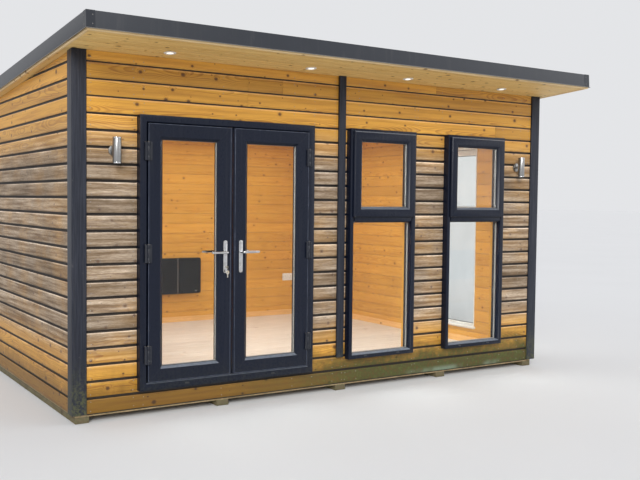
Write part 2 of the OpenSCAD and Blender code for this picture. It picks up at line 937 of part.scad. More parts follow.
// Metal trim that hangs over the fascia with a kicked out foot and laps onto the covering
module roof_trim() {
    top = soffit_t + roof_t + cover_t + seat_gap;
    foot = trim_rise - fascia_drop;
    outer = [[foot, 0], [foot + trim_drip, trim_drip], [top + trim_t, trim_drip]];
    inner = [
        [foot, trim_t],
        [foot + trim_drip, trim_drip + trim_t],
        [top, trim_drip + trim_t],
        [top, trim_drip + trim_t + trim_flange],
        [top + trim_t, trim_drip + trim_t + trim_flange]
    ];
    color("darkslategray") on_roof() roof_frame(trim_t + trim_drip + seat_gap, outer, inner);
}

// Soffit boards outside the walls, cut for the downlights
module soffit() {
    wall_front = slope_run(-body_d / 2 + core_in) - slip;
    wall_back = slope_run(body_d / 2 - core_in) + slip;
    wall_side = body_w / 2 - core_in + slip;
    color("navajowhite") on_roof() difference() {
        roof_slab(fascia_t, 0, soffit_t);
        translate([-wall_side, wall_front, -over])
            cube([2 * wall_side, wall_back - wall_front, soffit_t + 2 * over]);
        for (x = downlight_runs)
            translate([left_x + x, -downlight_out, -over])
                cylinder(h = soffit_t + 2 * over, r = downlight_r + slip);
    }
}

// Ceiling boards of the room
module ceiling() {
    wall_front = slope_run(-body_d / 2 + post_w) + slip;
    wall_back = slope_run(body_d / 2 - post_w) - slip;
    color("navajowhite") on_roof()
        translate([-body_w / 2 + post_w, wall_front, 0])
            cube([body_w - 2 * post_w, wall_back - wall_front, soffit_t]);
}

// Recessed downlights: a body above the soffit, a sloping bezel and a set back lens
module downlights() {
    color("whitesmoke") on_roof()
        for (x = downlight_runs)
            translate([left_x + x, -downlight_out, 0]) difference() {
                union() {
                    translate([0, 0, -bezel_t / 2]) cylinder(h = downlight_h + bezel_t / 2, r = downlight_r);
                    translate([0, 0, -bezel_t - seat_gap])
                        cylinder(h = bezel_t, r1 = bezel_r - bezel_t, r2 = bezel_r);
                }
                translate([0, 0, -bezel_t - over]) cylinder(h = bezel_t + over + lens_rise, r = lens_r);
            }
}

// Up and down lamps on the front wall: each a tube open at both ends, on an arm and a plate
module wall_lamps() {
    color("silver")
        for (x = [left_x + lamp_run, left_x + front_l - lamp_run])
            translate([x, face_y, lamp_z]) {
                rotate([90, 0, 0]) cylinder(h = lamp_plate_t, r = lamp_plate_r);
                rotate([90, 0, 0]) cylinder(h = lamp_out, r = lamp_arm_r);
                translate([0, -lamp_out, 0]) difference() {
                    cylinder(h = lamp_h, r = lamp_r, center = true);
                    for (end = [-1, 1])
                        translate([0, 0, end * lamp_h / 2])
                            cylinder(h = 2 * lamp_recess, r = lamp_r - lamp_wall, center = true);
                }
            }
}

// Places its children on the back wall's lining, facing the room, by their middle
module on_back_wall(x, z) {
    translate([x, body_d / 2 - room_in, z]) rotate([90, 0, 0]) children();
}

// Panel heater on the back wall: a glass front with a groove, on a smaller case
module panel_heater() {
    color("black")
        on_back_wall(left_x + heater_run + heater_w / 2, floor_z + heater_rise + heater_h / 2)
            difference() {
                union() {
                    linear_extrude(heater_d)
                        rounded_rect(heater_w - 2 * heater_inset, heater_h - 2 * heater_inset, heater_edge);
                    translate([0, 0, heater_d - heater_glass_t]) linear_extrude(heater_glass_t)
                        rounded_rect(heater_w, heater_h, heater_edge);
                }
                translate([heater_w / 2 - groove_in, 0, heater_d])
                    cube([groove_w, heater_h + 2 * over, 2 * groove_t], center = true);
            }
}

// Double socket on the back wall
module double_socket() {
    color("white")
        on_back_wall(left_x + socket_run + socket_w / 2, floor_z + socket_rise + socket_h / 2)
            linear_extrude(socket_d) rounded_rect(socket_w, socket_h, socket_edge);
}

bearers();
floor_joists();
floor_deck();
floor_boards();
front_rails();
front_piers();
back_wall();
left_wall();
right_wall_piers();
right_wall_rails();
front_cladding();
back_cladding();
end_cladding();
front_lining();
back_lining();
end_linings();
corner_posts();
cover_strip();
door_frame();
left_leaf();
right_leaf();
left_door_glass();
right_door_glass();
frame_hinges();
left_hinges();
right_hinges();
left_handle_set();
right_handle_set();
left_lever();
right_lever();
front_window_frames();
side_window_frame();
front_window_sashes();
side_window_sash();
window_glass();
roof_deck();
roof_cover();
fascia();
roof_trim();
soffit();
ceiling();
downlights();
wall_lamps();
panel_heater();
double_socket();
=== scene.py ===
"""Garden office pod: boards, sealed units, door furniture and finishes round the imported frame.

Lengths are in metres. X runs to the right, the doors look towards -Y and Z is up.
"""
import math

import bpy
import numpy as np
from mathutils import Matrix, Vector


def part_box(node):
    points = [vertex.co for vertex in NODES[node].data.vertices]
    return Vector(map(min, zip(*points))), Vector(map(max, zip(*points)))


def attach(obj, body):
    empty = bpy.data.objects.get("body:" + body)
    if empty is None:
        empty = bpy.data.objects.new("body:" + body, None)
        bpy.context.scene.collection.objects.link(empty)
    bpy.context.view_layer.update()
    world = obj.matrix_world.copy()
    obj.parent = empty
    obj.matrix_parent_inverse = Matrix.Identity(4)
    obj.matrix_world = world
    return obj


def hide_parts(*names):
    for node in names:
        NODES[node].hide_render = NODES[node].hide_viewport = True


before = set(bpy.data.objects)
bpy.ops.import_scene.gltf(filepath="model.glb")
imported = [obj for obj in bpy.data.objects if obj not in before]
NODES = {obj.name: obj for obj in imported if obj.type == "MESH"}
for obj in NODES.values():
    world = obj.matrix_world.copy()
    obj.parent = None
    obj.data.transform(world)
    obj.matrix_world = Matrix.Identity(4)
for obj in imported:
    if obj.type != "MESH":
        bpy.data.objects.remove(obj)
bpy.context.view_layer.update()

# Directions
X = np.array([1.0, 0.0, 0.0])
Y = np.array([0.0, 1.0, 0.0])
Z = np.array([0.0, 0.0, 1.0])

# Each wall is (along, up, out), with along x up = out
FRONT = (X, Z, -Y)
BACK = (-X, Z, Y)
LEFT = (-Y, Z, -X)
RIGHT = (Y, Z, X)
FRONT_ROOM = BACK
BACK_ROOM = FRONT
LEFT_ROOM = RIGHT
RIGHT_ROOM = LEFT
FLOOR = (X, Y, Z)

BOARD_PITCH = 0.112
ROOF_PITCH = math.radians(3.8)
FACE_Y = -1.798
EAVES_Z = 2.479
SHARP = math.radians(32)

# The soffit's plane, seen from below, with up pointing towards the front
SLOPE_UP = np.array([0.0, -math.cos(ROOF_PITCH), math.sin(ROOF_PITCH)])
SOFFIT = (X, SLOPE_UP, np.cross(X, SLOPE_UP))
ROOF_START = FACE_Y * Y + EAVES_Z * Z


def placed(name, data):
    """New object in the scene."""
    made = bpy.data.objects.new(name, data)
    bpy.context.scene.collection.objects.link(made)
    return made


# Camera

camera_data = bpy.data.cameras.new("camera")
camera_data.sensor_width = 36.0
camera_data.lens = 48.95
camera_data.clip_end = 200.0
camera = placed("camera", camera_data)
camera.matrix_world = Matrix((
    (0.83903, 0.01499, -0.54388, -3.896),
    (-0.54398, 0.04341, -0.83798, -7.461),
    (0.01105, 0.99894, 0.04458, 1.503),
    (0.0, 0.0, 0.0, 1.0),
))
bpy.context.scene.camera = camera


# Shapes

def unit(vector):
    """Vector divided by its length."""
    vector = np.asarray(vector, float)
    return vector / np.linalg.norm(vector)


def loft(rings, closed=False):
    """Skin over equal rings of points: point j of ring i is joined to points j and j + 1 of ring i + 1."""
    rings = np.asarray(rings, float)
    count, sides = rings.shape[:2]
    row = np.arange(count if closed else count - 1)[:, None]
    column = np.arange(sides)[None]
    after = (column + 1) % sides
    above = (row + 1) % count * sides
    quads = np.stack([row * sides + column, row * sides + after, above + after, above + column], -1)
    faces = [quads.reshape(-1, 4)]
    if not closed:
        ring = np.arange(sides)
        faces += [ring[::-1][None], (ring + (count - 1) * sides)[None]]
    return rings.reshape(-1, 3), faces


def sweep(section, middles, first, second, grow=None, closed=False):
    """Section carried along a path: middle + growth x (first coordinate x first direction
    + second coordinate x second direction), at each station."""
    section = np.asarray(section, float)
    middles = np.asarray(middles, float).reshape(-1, 1, 3)
    count = len(middles)
    first = np.broadcast_to(first, (count, 3))[:, None]
    second = np.broadcast_to(second, (count, 3))[:, None]
    grow = np.ones(count) if grow is None else np.asarray(grow, float)
    spread = section[None, :, :1] * first + section[None, :, 1:] * second
    return loft(middles + grow[:, None, None] * spread, closed)


def circle(radius, sides):
    """Points at equal angles, radius x (cos, sin)."""
    angle = np.arange(sides) * 2 * math.pi / sides
    return radius * np.stack([np.cos(angle), np.sin(angle)], -1)


def rays(first, second, sides):
    """Directions at equal angles in the plane of two directions: cos x first + sin x second."""
    turn = circle(1, sides)
    return turn[:, :1] * first + turn[:, 1:] * second


def rounded(width, height, radius, steps):
    """Rectangle about the origin whose corners are quarter circles of the radius."""
    turn = np.linspace(0, math.pi / 2, steps)
    corners = []
    for quarter, (right, top) in enumerate(((1, 1), (-1, 1), (-1, -1), (1, -1))):
        angle = turn + quarter * math.pi / 2
        corners.append(np.stack([
            right * (width / 2 - radius) + radius * np.cos(angle),
            top * (height / 2 - radius) + radius * np.sin(angle),
        ], -1))
    return np.concatenate(corners)


def block(low, high, edge, way=2, steps=2):
    """Box with softened edges: four round-cornered rings along one axis, the end ones drawn in."""
    low, high = np.asarray(low, float), np.asarray(high, float)
    one, two = (way + 1) % 3, (way + 2) % 3
    size, middle = high - low, (low + high) / 2
    rings = []
    for at, inset in ((low[way], edge), (low[way] + edge, 0), (high[way] - edge, 0), (high[way], edge)):
        flat = rounded(size[one] - 2 * inset, size[two] - 2 * inset, edge - 0.7 * inset, steps)
        ring = np.zeros((len(flat), 3))
        ring[:, one] = middle[one] + flat[:, 0]
        ring[:, two] = middle[two] + flat[:, 1]
        ring[:, way] = at
        rings.append(ring)
    return loft(rings)


def turned(profile, middle, axis, sides):
    """Turning of a profile of [radius, distance along the axis]."""
    profile = np.asarray(profile, float)
    axis = unit(axis)
    first = unit(np.cross(axis, X if abs(axis[0]) < 0.7 else Y))
    second = np.cross(axis, first)
    return sweep(circle(1, sides), middle + profile[:, 1:] * axis, first, second, profile[:, 0])


def bar(section, path, side, out):
    """Small section drawn along a few points: its first coordinate lies along the side direction
    and its second along out, and it is turned over where that would face inwards."""
    path = np.asarray(path, float)
    section = np.asarray(section, float)
    if np.dot(np.cross(side, out), path[-1] - path[0]) < 0:
        section = section[::-1]
    return sweep(section, path, side, out)


def corners_of(left, right, low, high):
    """Corners of a rectangle, each with the ways that lead inwards from it."""
    return (left, low, 1, 1), (right, low, -1, 1), (right, high, -1, -1), (left, high, 1, -1)


def around(section, wall, left, right, low, high):
    """Section of [inset, distance out] carried round a rectangle of a wall with mitred corners."""
    along, up, out = wall
    section = np.asarray(section, float)
    inset, depth = section[:, :1], section[:, 1:]
    rings = []
    for s, h, turn_s, turn_h in corners_of(left, right, low, high):
        rings.append((s + inset * turn_s) * along + (h + inset * turn_h) * up + depth * out)
    return loft(rings, closed=True)


def strip_section(inner, outer, back, face, edge=0.0005):
    """Small closed section of [inset, distance out] with its two outer corners softened."""
    return [
        (inner, back), (outer, back), (outer, face - edge), (outer - edge, face),
        (inner + edge, face), (inner, face - edge),
    ]


class Pile:
    """Gathers shapes into one mesh, with values for each of their points."""

    def __init__(self):
        self.points = []
        self.faces = []
        self.layers = {}
        self.size = 0

    def add(self, shape, **layers):
        points, faces = shape
        self.points.append(points)
        self.faces += [face + self.size for face in faces]
        for name, values in layers.items():
            self.layers.setdefault(name, []).append(values)
        self.size += len(points)

    def repeat(self, shape, places):
        """Copies a shape to many places at once: every point plus every place."""
        points, faces = shape
        copies = (np.asarray(places, float)[:, None] + points[None]).reshape(-1, 3)
        shift = (np.arange(len(places)) * len(points))[:, None, None]
        self.add((copies, [(shift + face[None]).reshape(-1, face.shape[1]) for face in faces]))

    def piece(self, name, finish, slot, body="root", replaces=()):
        """Makes the mesh and lets it ride on a body."""
        mesh = bpy.data.meshes.new(name)
        points = np.concatenate(self.points)
        counts = np.concatenate([np.full(len(face), face.shape[1]) for face in self.faces])
        corners = np.concatenate([face.ravel() for face in self.faces])
        mesh.vertices.add(len(points))
        mesh.vertices.foreach_set("co", points.ravel().astype(np.float32))
        mesh.loops.add(len(corners))
        mesh.loops.foreach_set("vertex_index", corners.astype(np.int32))
        mesh.polygons.add(len(counts))
        starts = np.concatenate([[0], counts.cumsum()[:-1]])
        mesh.polygons.foreach_set("loop_start", starts.astype(np.int32))
        mesh.update(calc_edges=True)
        for key, parts in self.layers.items():
            values = np.concatenate(parts)
            vector = values.ndim == 2
            layer = mesh.attributes.new(key, "FLOAT_VECTOR" if vector else "FLOAT", "POINT")
            layer.data.foreach_set("vector" if vector else "value", values.ravel().astype(np.float32))
        mesh.shade_smooth()
        mesh.set_sharp_from_angle(angle=SHARP)
        mesh.materials.append(finish)
        made = placed(name, mesh)
        if replaces:
            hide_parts(*replaces)
        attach(made, body)


def box_of(node):
    """Lowest and highest corners of a node."""
    low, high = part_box(node)
    return np.array(low), np.array(high)


def outline(box, way=0):
    """Edges of a box on a wall that runs along an axis, as (left, right, low, high)."""
    low, high = box
    return low[way], high[way], low[2], high[2]


def solids(node):
    """Boxes of a node's separate solids, from left to right and upwards. Corners that share a
    place are one point, and each triangle hands its lowest number on until nothing changes."""
    mesh = NODES[node].data
    mesh.calc_loop_triangles()
    places = np.zeros(len(mesh.vertices) * 3)
    mesh.vertices.foreach_get("co", places)
    corners = np.zeros(len(mesh.loop_triangles) * 3, np.int32)
    mesh.loop_triangles.foreach_get("vertices", corners)
    places, same = np.unique(np.round(places.reshape(-1, 3), 5), axis=0, return_inverse=True)
    triangles = same.ravel()[corners].reshape(-1, 3)
    label = np.arange(len(places))
    while True:
        lowest = label.copy()
        np.minimum.at(lowest, triangles.ravel(), np.repeat(label[triangles].min(1), 3))
        if (lowest == label).all():
            break
        label = lowest
    boxes = [(places[label == k].min(0), places[label == k].max(0)) for k in np.unique(label)]
    return sorted(boxes, key=lambda box: (round(box[0][0], 2), round(box[0][1], 2), box[0][2]))


# Boards

def board_section(pitch, thick, joint, groove, edge):
    """Section of a board as [height, distance out of the face, share of painted shade]: a back, half a
    groove above and below, and rounded edges at the face. The painted shade darkens the groove's walls
    and floor."""
    half, bevel = joint / 2, edge * 0.3
    slack = 0.0002
    return np.array([
        (slack, -thick, 1), (pitch - slack, -thick, 1), (pitch - slack, -groove, 1),
        (pitch - half, -groove, 1), (pitch - half, -edge, 0.8), (pitch - half - bevel, -bevel, 0.1),
        (pitch - half - edge, 0, 0), (pitch * 0.66, 0, 0), (pitch * 0.34, 0, 0), (half + edge, 0, 0),
        (half + bevel, -bevel, 0.1), (half, -edge, 0.8), (half, -groove, 1), (slack, -groove, 1),
    ])


def board_runs(base, top, span, openings, butts):
    """Boards of one row, each a number and its parts (left, right, low, high). An opening as high
    as the row ends a board; one that takes only some of its height leaves a notch."""
    near = [o for o in openings if o[2] < top - 0.001 and o[3] > base + 0.001]
    edges = {s for o in near for s in o[:2]} | set(butts) | set(span)
    edges = sorted(s for s in edges if span[0] <= s <= span[1])
    runs, ended = [], True
    for left, right in zip(edges[:-1], edges[1:]):
        middle = (left + right) / 2
        free = [(base, top)]
        for _, _, low, high in [o for o in near if o[0] < middle < o[1]]:
            free = [part for a, b in free for part in ((a, min(b, low)), (max(a, high), b))
                    if part[1] - part[0] > 0.004]
        passed = sum(o[1] <= middle and o[2] <= base + 0.001 and o[3] >= top - 0.001 for o in near)
        number = passed + 4 * sum(s <= middle for s in butts)
        for low, high in free:
            if len(free) == 1 and not ended and left not in butts:
                runs[-1][1].append((left, right, low, high))
            else:
                runs.append((number, [(left, right, low, high)]))
        ended = len(free) != 1
    return runs


def lay_boards(pile, wall, face, span, rise, section, openings=(), crown=None, joints=None,
               seed=1, gap=0.002, butt=None, step=0.2, wave=0.0005, start=None):
    """Rows of boards over a wall, cut round its openings and under a sloping crown. Each board is
    its section carried along the wall; its face strays by sines of the distance along it."""
    along, up, out = wall
    start = np.zeros(3) if start is None else start
    butt = gap / 4 if butt is None else butt
    pitch = section[:, 0].max() + 0.0002
    rows = int(math.ceil((rise[1] - rise[0]) / pitch - 1e-6))
    draws = np.random.default_rng(seed).random((rows, 40, 8))
    shown = section[None, :, 2] < 0.9
    for row in range(rows):
        base = rise[0] + row * pitch
        top = min(base + pitch, rise[1])
        butts = [s for s in (joints(row) if joints else ()) if span[0] < s < span[1]]
        cut = {s for o in openings for s in o[:2]} | set(span)
        for number, parts in board_runs(base, top, span, openings, butts):
            left, right = parts[0][0], parts[-1][1]
            left += gap if left in cut else butt
            right -= gap if right in cut else butt
            if crown is not None:
                reach = np.linspace(left, right, 400)
                reach = reach[crown(reach) > base + 0.006]
                if len(reach) < 2:
                    continue
                left, right = reach[0], reach[-1]
            if right - left < 0.006:
                continue
            chance = draws[row, number % 40]
            stations = []
            for a, b, low, high in parts:
                a, b = max(a, left), min(b, right)
                if b > a:
                    stations += [(s, low, high) for s in np.linspace(a, b, int((b - a) / step) + 2)]
            s, low, high = np.array(stations).T
            if crown is not None:
                high = np.minimum(high, crown(s))
            stray = wave * np.sin(2 * math.pi * (s / (1.3 + chance[0]) + chance[1])) - wave * (1 + chance[2])
            drift = 0.4 * wave * np.sin(2 * math.pi * (s / 1.9 + chance[4]))
            height = np.clip(base + section[None, :, 0] + drift[:, None], low[:, None], high[:, None])
            lean = (section[None, :, 0] / pitch - 0.5) * wave * (chance[3] - 0.5) * 1.5
            depth = section[None, :, 1] + np.where(shown, stray[:, None] + lean, 0)
            rings = (start + s[:, None, None] * along + height[..., None] * up
                     + (face + depth)[..., None] * out)
            plank = np.stack([
                np.broadcast_to(s[:, None], height.shape) + chance[5] * 90,
                height - base - pitch / 2 + (chance[6] - 0.5) * 0.16,
                depth - 0.02 - 0.09 * chance[7],
            ], -1)
            shade = np.broadcast_to(section[None, :, 2], height.shape)
            tone = np.full(height.size, chance[4] * 0.5 + chance[6] * 0.5)
            across = (height - base) / pitch
            pile.add(loft(rings), plank=plank.reshape(-1, 3), shade=shade.ravel(), tone=tone,
                     across=across.ravel())


# Node trees

class Value:
    """Output of a node, which adds and multiplies like a number by writing one more node."""

    def __init__(self, web, socket):
        self.web = web
        self.socket = socket

    def made(self, operation, *values):
        write = self.web.vector if self.socket.type == "VECTOR" else self.web.calc
        return write(operation, *values)

    def __add__(self, other):
        return self.made("ADD", self, other)

    def __sub__(self, other):
        return self.made("SUBTRACT", self, other)

    def __mul__(self, other):
        return self.made("MULTIPLY", self, other)

    def __truediv__(self, other):
        return self.made("DIVIDE", self, other)


class Web:
    """Writes a node tree: each call adds one node and hands back one of its outputs."""

    def __init__(self, tree):
        self.tree = tree

    def feed(self, socket, value):
        value = getattr(value, "socket", value)
        if isinstance(value, bpy.types.NodeSocket):
            self.tree.links.new(value, socket)
        elif value is not None:
            if socket.type == "RGBA" and len(value) == 3:
                value = (*value, 1.0)
            socket.default_value = value

    def node(self, kind, inputs=(), out=0, **settings):
        made = self.tree.nodes.new("ShaderNode" + kind)
        for key, value in settings.items():
            setattr(made, key, value)
        for key, value in dict(inputs).items():
            self.feed(made.inputs[key], value)
        return made if out is None else Value(self, made.outputs[out])

    def calc(self, operation, *values, clamp=False):
        return self.node("Math", enumerate(values), operation=operation, use_clamp=clamp)

    def vector(self, operation, *values, out=0):
        return self.node("VectorMath", enumerate(values), out, operation=operation)

    def split(self, vector):
        return [Value(self, part) for part in self.node("SeparateXYZ", {0: vector}, None).outputs]

    def join(self, *parts):
        return self.node("CombineXYZ", enumerate(parts))

    def noise(self, vector, scale, detail=2.0, rough=0.5, out=0):
        inputs = {"Vector": vector, "Scale": scale, "Detail": detail, "Roughness": rough}
        return self.node("TexNoise", inputs, out)

    def span(self, value, start, end, low=0.0, high=1.0, smooth=True):
        inputs = {"Value": value, "From Min": start, "From Max": end, "To Min": low, "To Max": high}
        return self.node("MapRange", inputs, interpolation_type="SMOOTHSTEP" if smooth else "LINEAR")

    def blend(self, share, first, second):
        return self.node("Mix", {0: share, 6: first, 7: second}, 2, data_type="RGBA")

    def fade(self, value, start, end, first, second):
        return self.blend(self.span(value, start, end), first, second)

    def tint(self, colour, value=1.0, saturation=1.0):
        return self.node("HueSaturation", {"Color": colour, "Value": value, "Saturation": saturation})

    def place(self):
        return self.node("TexCoord", out="Object")

    def layer(self, name, out="Fac"):
        return self.node("Attribute", out=out, attribute_name=name)

    def use(self, group, inputs):
        made = self.node("Group", inputs, None, node_tree=group)
        return {socket.name: Value(self, socket) for socket in made.outputs}


def effect(name, write, **inputs):
    """Node group. Its inputs come with their values: a tuple is a colour, None a vector and a number
    a float. Its outputs are the values that write gives by name."""
    tree = bpy.data.node_groups.new(name, "ShaderNodeTree")

    def socket(label, kind, way):
        return tree.interface.new_socket(label, in_out=way, socket_type="NodeSocket" + kind)

    for label, value in inputs.items():
        if value is None:
            socket(label, "Vector", "INPUT")
        elif isinstance(value, tuple):
            socket(label, "Color", "INPUT").default_value = (*value, 1.0)
        else:
            socket(label, "Float", "INPUT").default_value = value
    web = Web(tree)
    given = {part.name: Value(web, part) for part in tree.nodes.new("NodeGroupInput").outputs}
    made = write(web, given)
    for label in made:
        socket(label, "Color" if label == "Colour" else "Float", "OUTPUT")
    result = tree.nodes.new("NodeGroupOutput").inputs
    for label, value in made.items():
        web.feed(result[label], value)
    return tree


def blank(name):
    """New material and the web of its empty node tree."""
    material = bpy.data.materials.new(name)
    material.use_nodes = True
    material.node_tree.nodes.clear()
    return material, Web(material.node_tree)


def finish(name, write, bump=0.001, **fixed):
    """Material: write gives the colour, the roughness and the height, which change over the surface."""
    material, web = blank(name)
    shader = web.node("BsdfPrincipled", out=None)
    colour, rough, height = write(web, web.place())
    inputs = {"Base Color": colour, "Roughness": rough, **fixed}
    if "Emission_Strength" in fixed:
        inputs["Emission Color"] = colour
    if height is not None:
        inputs["Normal"] = web.node("Bump", {"Height": height, "Distance": bump, "Strength": 1.0})
    for key, value in inputs.items():
        web.feed(shader.inputs[key.replace("_", " ")], value)
    web.node("OutputMaterial", {"Surface": shader.outputs[0]}, None)
    return material


# Effects that several finishes share

def write_pine(web, given):
    """Rings are circles round a log's heart that wanders along the board, pushed aside by knots."""
    u, v, w = web.split(given["Plank"])
    wander = web.noise(web.join(u * 1.1, v * 2.0, 0.0), 1.0, 2.0, out=1)
    sway_v, sway_w, _ = web.split(web.vector("SUBTRACT", wander, (0.5, 0.5, 0.5)))
    cell = web.join(u / 0.19, v / 0.075, 0.0)
    knots = web.node("TexVoronoi", {"Vector": cell, "Scale": 1.0, "Randomness": 0.85}, None,
                     voronoi_dimensions="2D", feature="F1")
    offset = web.vector("SUBTRACT", cell, knots.outputs["Position"])
    away = web.vector("LENGTH", offset * (0.16, 0.075, 0.0), out="Value")
    luck, girth, _ = web.split(knots.outputs["Color"])
    present = web.calc("GREATER_THAN", given["Knots"], luck)
    radius = (web.calc("POWER", girth, 2.0) * 0.011 + 0.003) * given["Girth"]
    ragged = web.noise(given["Plank"], 150.0, 3.0) * 0.6 + 0.7
    near = away * ragged / radius
    knot = web.span(near, 0.7, 1.05, 1.0, 0.0) * present
    rim = web.span(near, 0.85, 1.1) * web.span(near, 1.1, 1.6, 1.0, 0.0) * present
    push = web.span(near, 0.8, 4.5, 1.0, 0.0) * (radius * present)
    ring_v = sway_v * 0.09 + v + push
    ring_w = sway_w * 0.12 + w + push
    distance = web.vector("LENGTH", web.join(ring_v, ring_w, 0.0), out="Value")
    ring = web.calc("FRACT", distance / given["Ring"])
    late = web.span(ring, 0.35, 0.9) * web.span(ring, 0.94, 1.0, 1.0, 0.0)
    streak = web.noise(given["Plank"] * (1.6, 42.0, 42.0), 1.0, 3.0, 0.55)
    fibre = web.noise(given["Plank"] * (14.0, 520.0, 520.0), 1.0, 2.0)
    dark = web.calc("ADD", late * 0.55, web.span(streak, 0.35, 0.8, 0.0, 0.6), clamp=True)
    colour = web.blend(dark, given["Early"], given["Late"])
    value = given["Tone"] * given["Variety"] + 1.0 + given["Variety"] * -0.5
    colour = web.tint(colour, value * (fibre * 0.24 + 0.88))
    halo = web.span(near, 1.0, 3.2, 1.0, 0.0) * present * 0.35
    colour = web.blend(halo, colour, given["Late"])
    core = web.fade(near, 0.15, 0.95, given["Knot"], web.tint(given["Knot"], 0.45))
    colour = web.blend(rim * 0.75, colour, web.tint(given["Knot"], 0.6))
    colour = web.blend(knot * 0.92, colour, core)
    height = late * 0.35 + fibre * 0.4 - rim * 0.5
    return {"Colour": colour, "Height": height, "Knot mask": knot, "Fibre": fibre, "Streak": streak}


PINE = effect(
    "pine board", write_pine, Plank=None, Tone=0.5, Variety=0.3, Ring=0.006, Knots=0.5, Girth=1.0,
    Early=(0.7, 0.4, 0.15), Late=(0.5, 0.22, 0.06), Knot=(0.16, 0.06, 0.02),
)


def write_weather(web, given):
    """Grey silvering where rain reaches, a painted highlight along each board's top edge and a painted
    shadow along its lower edge, a darker band at the foot, algae that grows to the right, and painted
    shade in the joints."""
    x, y, z = web.split(given["Position"])
    patch = web.noise(given["Position"], 2.3, 3.0, 0.6)
    grit = web.noise(given["Position"], 38.0, 3.0, 0.65)
    band = web.span(z, 0.3, 0.62) * web.span(z, 1.72, 2.12, 1.0, 0.0)
    silver = web.calc("MULTIPLY", band, web.span(patch, 0.25, 0.6, 0.7, 1.0), clamp=True)
    silver = silver * given["Silvering"] * (given["Knots"] * -0.6 + 1.0)
    grey = web.blend(given["Streaks"], (0.452, 0.390, 0.322), (0.118, 0.095, 0.073))
    stain = web.noise(given["Position"] * (3.0, 3.0, 30.0), 1.0, 4.0, 0.6)
    fleck = web.noise(given["Position"] * (26.0, 26.0, 150.0), 1.0, 5.0, 0.75)
    value = web.span(stain, 0.28, 0.72, 0.5, 1.2) * web.span(fleck, 0.3, 0.7, 0.62, 1.3)
    grey = web.tint(grey, value * given["Value"])
    grey = web.blend(0.13, grey, given["Colour"])
    colour = web.blend(silver, given["Colour"], grey)
    # Painted light on each board: a paler strip along its top edge is a painted highlight, a darker strip
    # along its lower edge is painted shadow under the board above; worn sets how strong both are
    ragged_edge = grit * 0.05 + given["Across"]
    lower = web.span(ragged_edge, 0.10, 0.21, 1.0, 0.0)
    upper = web.span(ragged_edge, 0.86, 0.91)
    worn = silver * 0.6 + 0.25
    colour = web.blend(lower * worn, colour, web.tint(colour, 0.38))
    colour = web.blend(upper * worn, colour, web.tint(colour, 2.1, 0.75))
    ragged = web.noise(given["Position"], 7.0, 4.0, 0.65) * 0.26 - 0.13
    foot = web.span(z + ragged, 0.14, 0.4, 1.0, 0.0)
    colour = web.blend(foot * 0.85, colour, web.tint(colour, 0.3, 1.15))
    right = web.span(x + patch * 0.8, -0.9, 0.9)
    cover = foot * web.span(grit, 0.25, 0.6, 0.55, 1.0)
    green = cover * right * given["Algae"]
    moss = web.fade(grit, 0.35, 0.75, (0.030, 0.036, 0.006), (0.085, 0.092, 0.014))
    colour = web.blend(green, colour, moss)
    lichen = web.span(z, 0.075, 0.115, 1.0, 0.0) * web.span(x, 0.35, 0.9)
    lichen = lichen * web.span(patch, 0.4, 0.6) * given["Algae"]
    colour = web.blend(lichen * 0.7, colour, (0.21, 0.28, 0.2))
    # Painted shade: the joints between boards, marked by the shade layer, are darkened almost to black
    colour = web.blend(given["Shade"] * 0.97, colour, (0.01, 0.006, 0.004))
    return {"Colour": colour, "Roughness": silver * 0.22 + 0.5 + green * 0.2}


WEATHER = effect(
    "weathering", write_weather, Colour=(0.6, 0.4, 0.2), Position=None, Streaks=0.5, Value=1.0, Silvering=1.0,
    Algae=1.0, Shade=0.0, Knots=0.0, Across=0.5,
)


def write_dust(web, given):
    """Pale dust on faces that look up, streaks of dirt below, and green splashes near the ground."""
    place = given["Position"]
    z = web.split(place)[2]
    upward = web.span(web.split(web.node("NewGeometry", out="Normal"))[2], 0.25, 0.9)
    grit = web.noise(place, 55.0, 4.0, 0.7)
    patch = web.noise(place, 3.5, 3.0, 0.6)
    runs = web.noise(place * (32.0, 32.0, 1.4), 1.0, 3.0, 0.6)
    dust = upward * web.span(grit, 0.2, 0.7, 0.35, 0.9)
    dust = web.calc("ADD", dust, web.span(runs, 0.52, 0.8) * 0.22, clamp=True)
    colour = web.blend(dust * given["Dust"], given["Colour"], (0.3, 0.28, 0.25))
    low = web.span(z + patch * 0.2, 0.15, 0.55, 1.0, 0.0)
    splash = low * web.span(grit, 0.42, 0.62) * given["Splash"]
    colour = web.blend(splash, colour, (0.10, 0.105, 0.045))
    colour = web.tint(colour, patch * 0.3 + 0.85)
    return {"Colour": colour, "Mask": web.calc("MAXIMUM", dust, splash), "Grit": grit}


DUST = effect(
    "dust and splashes", write_dust, Colour=(0.03, 0.038, 0.055), Position=None, Dust=0.4, Splash=0.5,
)


def soiled(web, place, colour, dust, splash):
    """A colour under dust and splashes."""
    return web.use(DUST, {"Colour": colour, "Position": place, "Dust": dust, "Splash": splash})


# Finishes

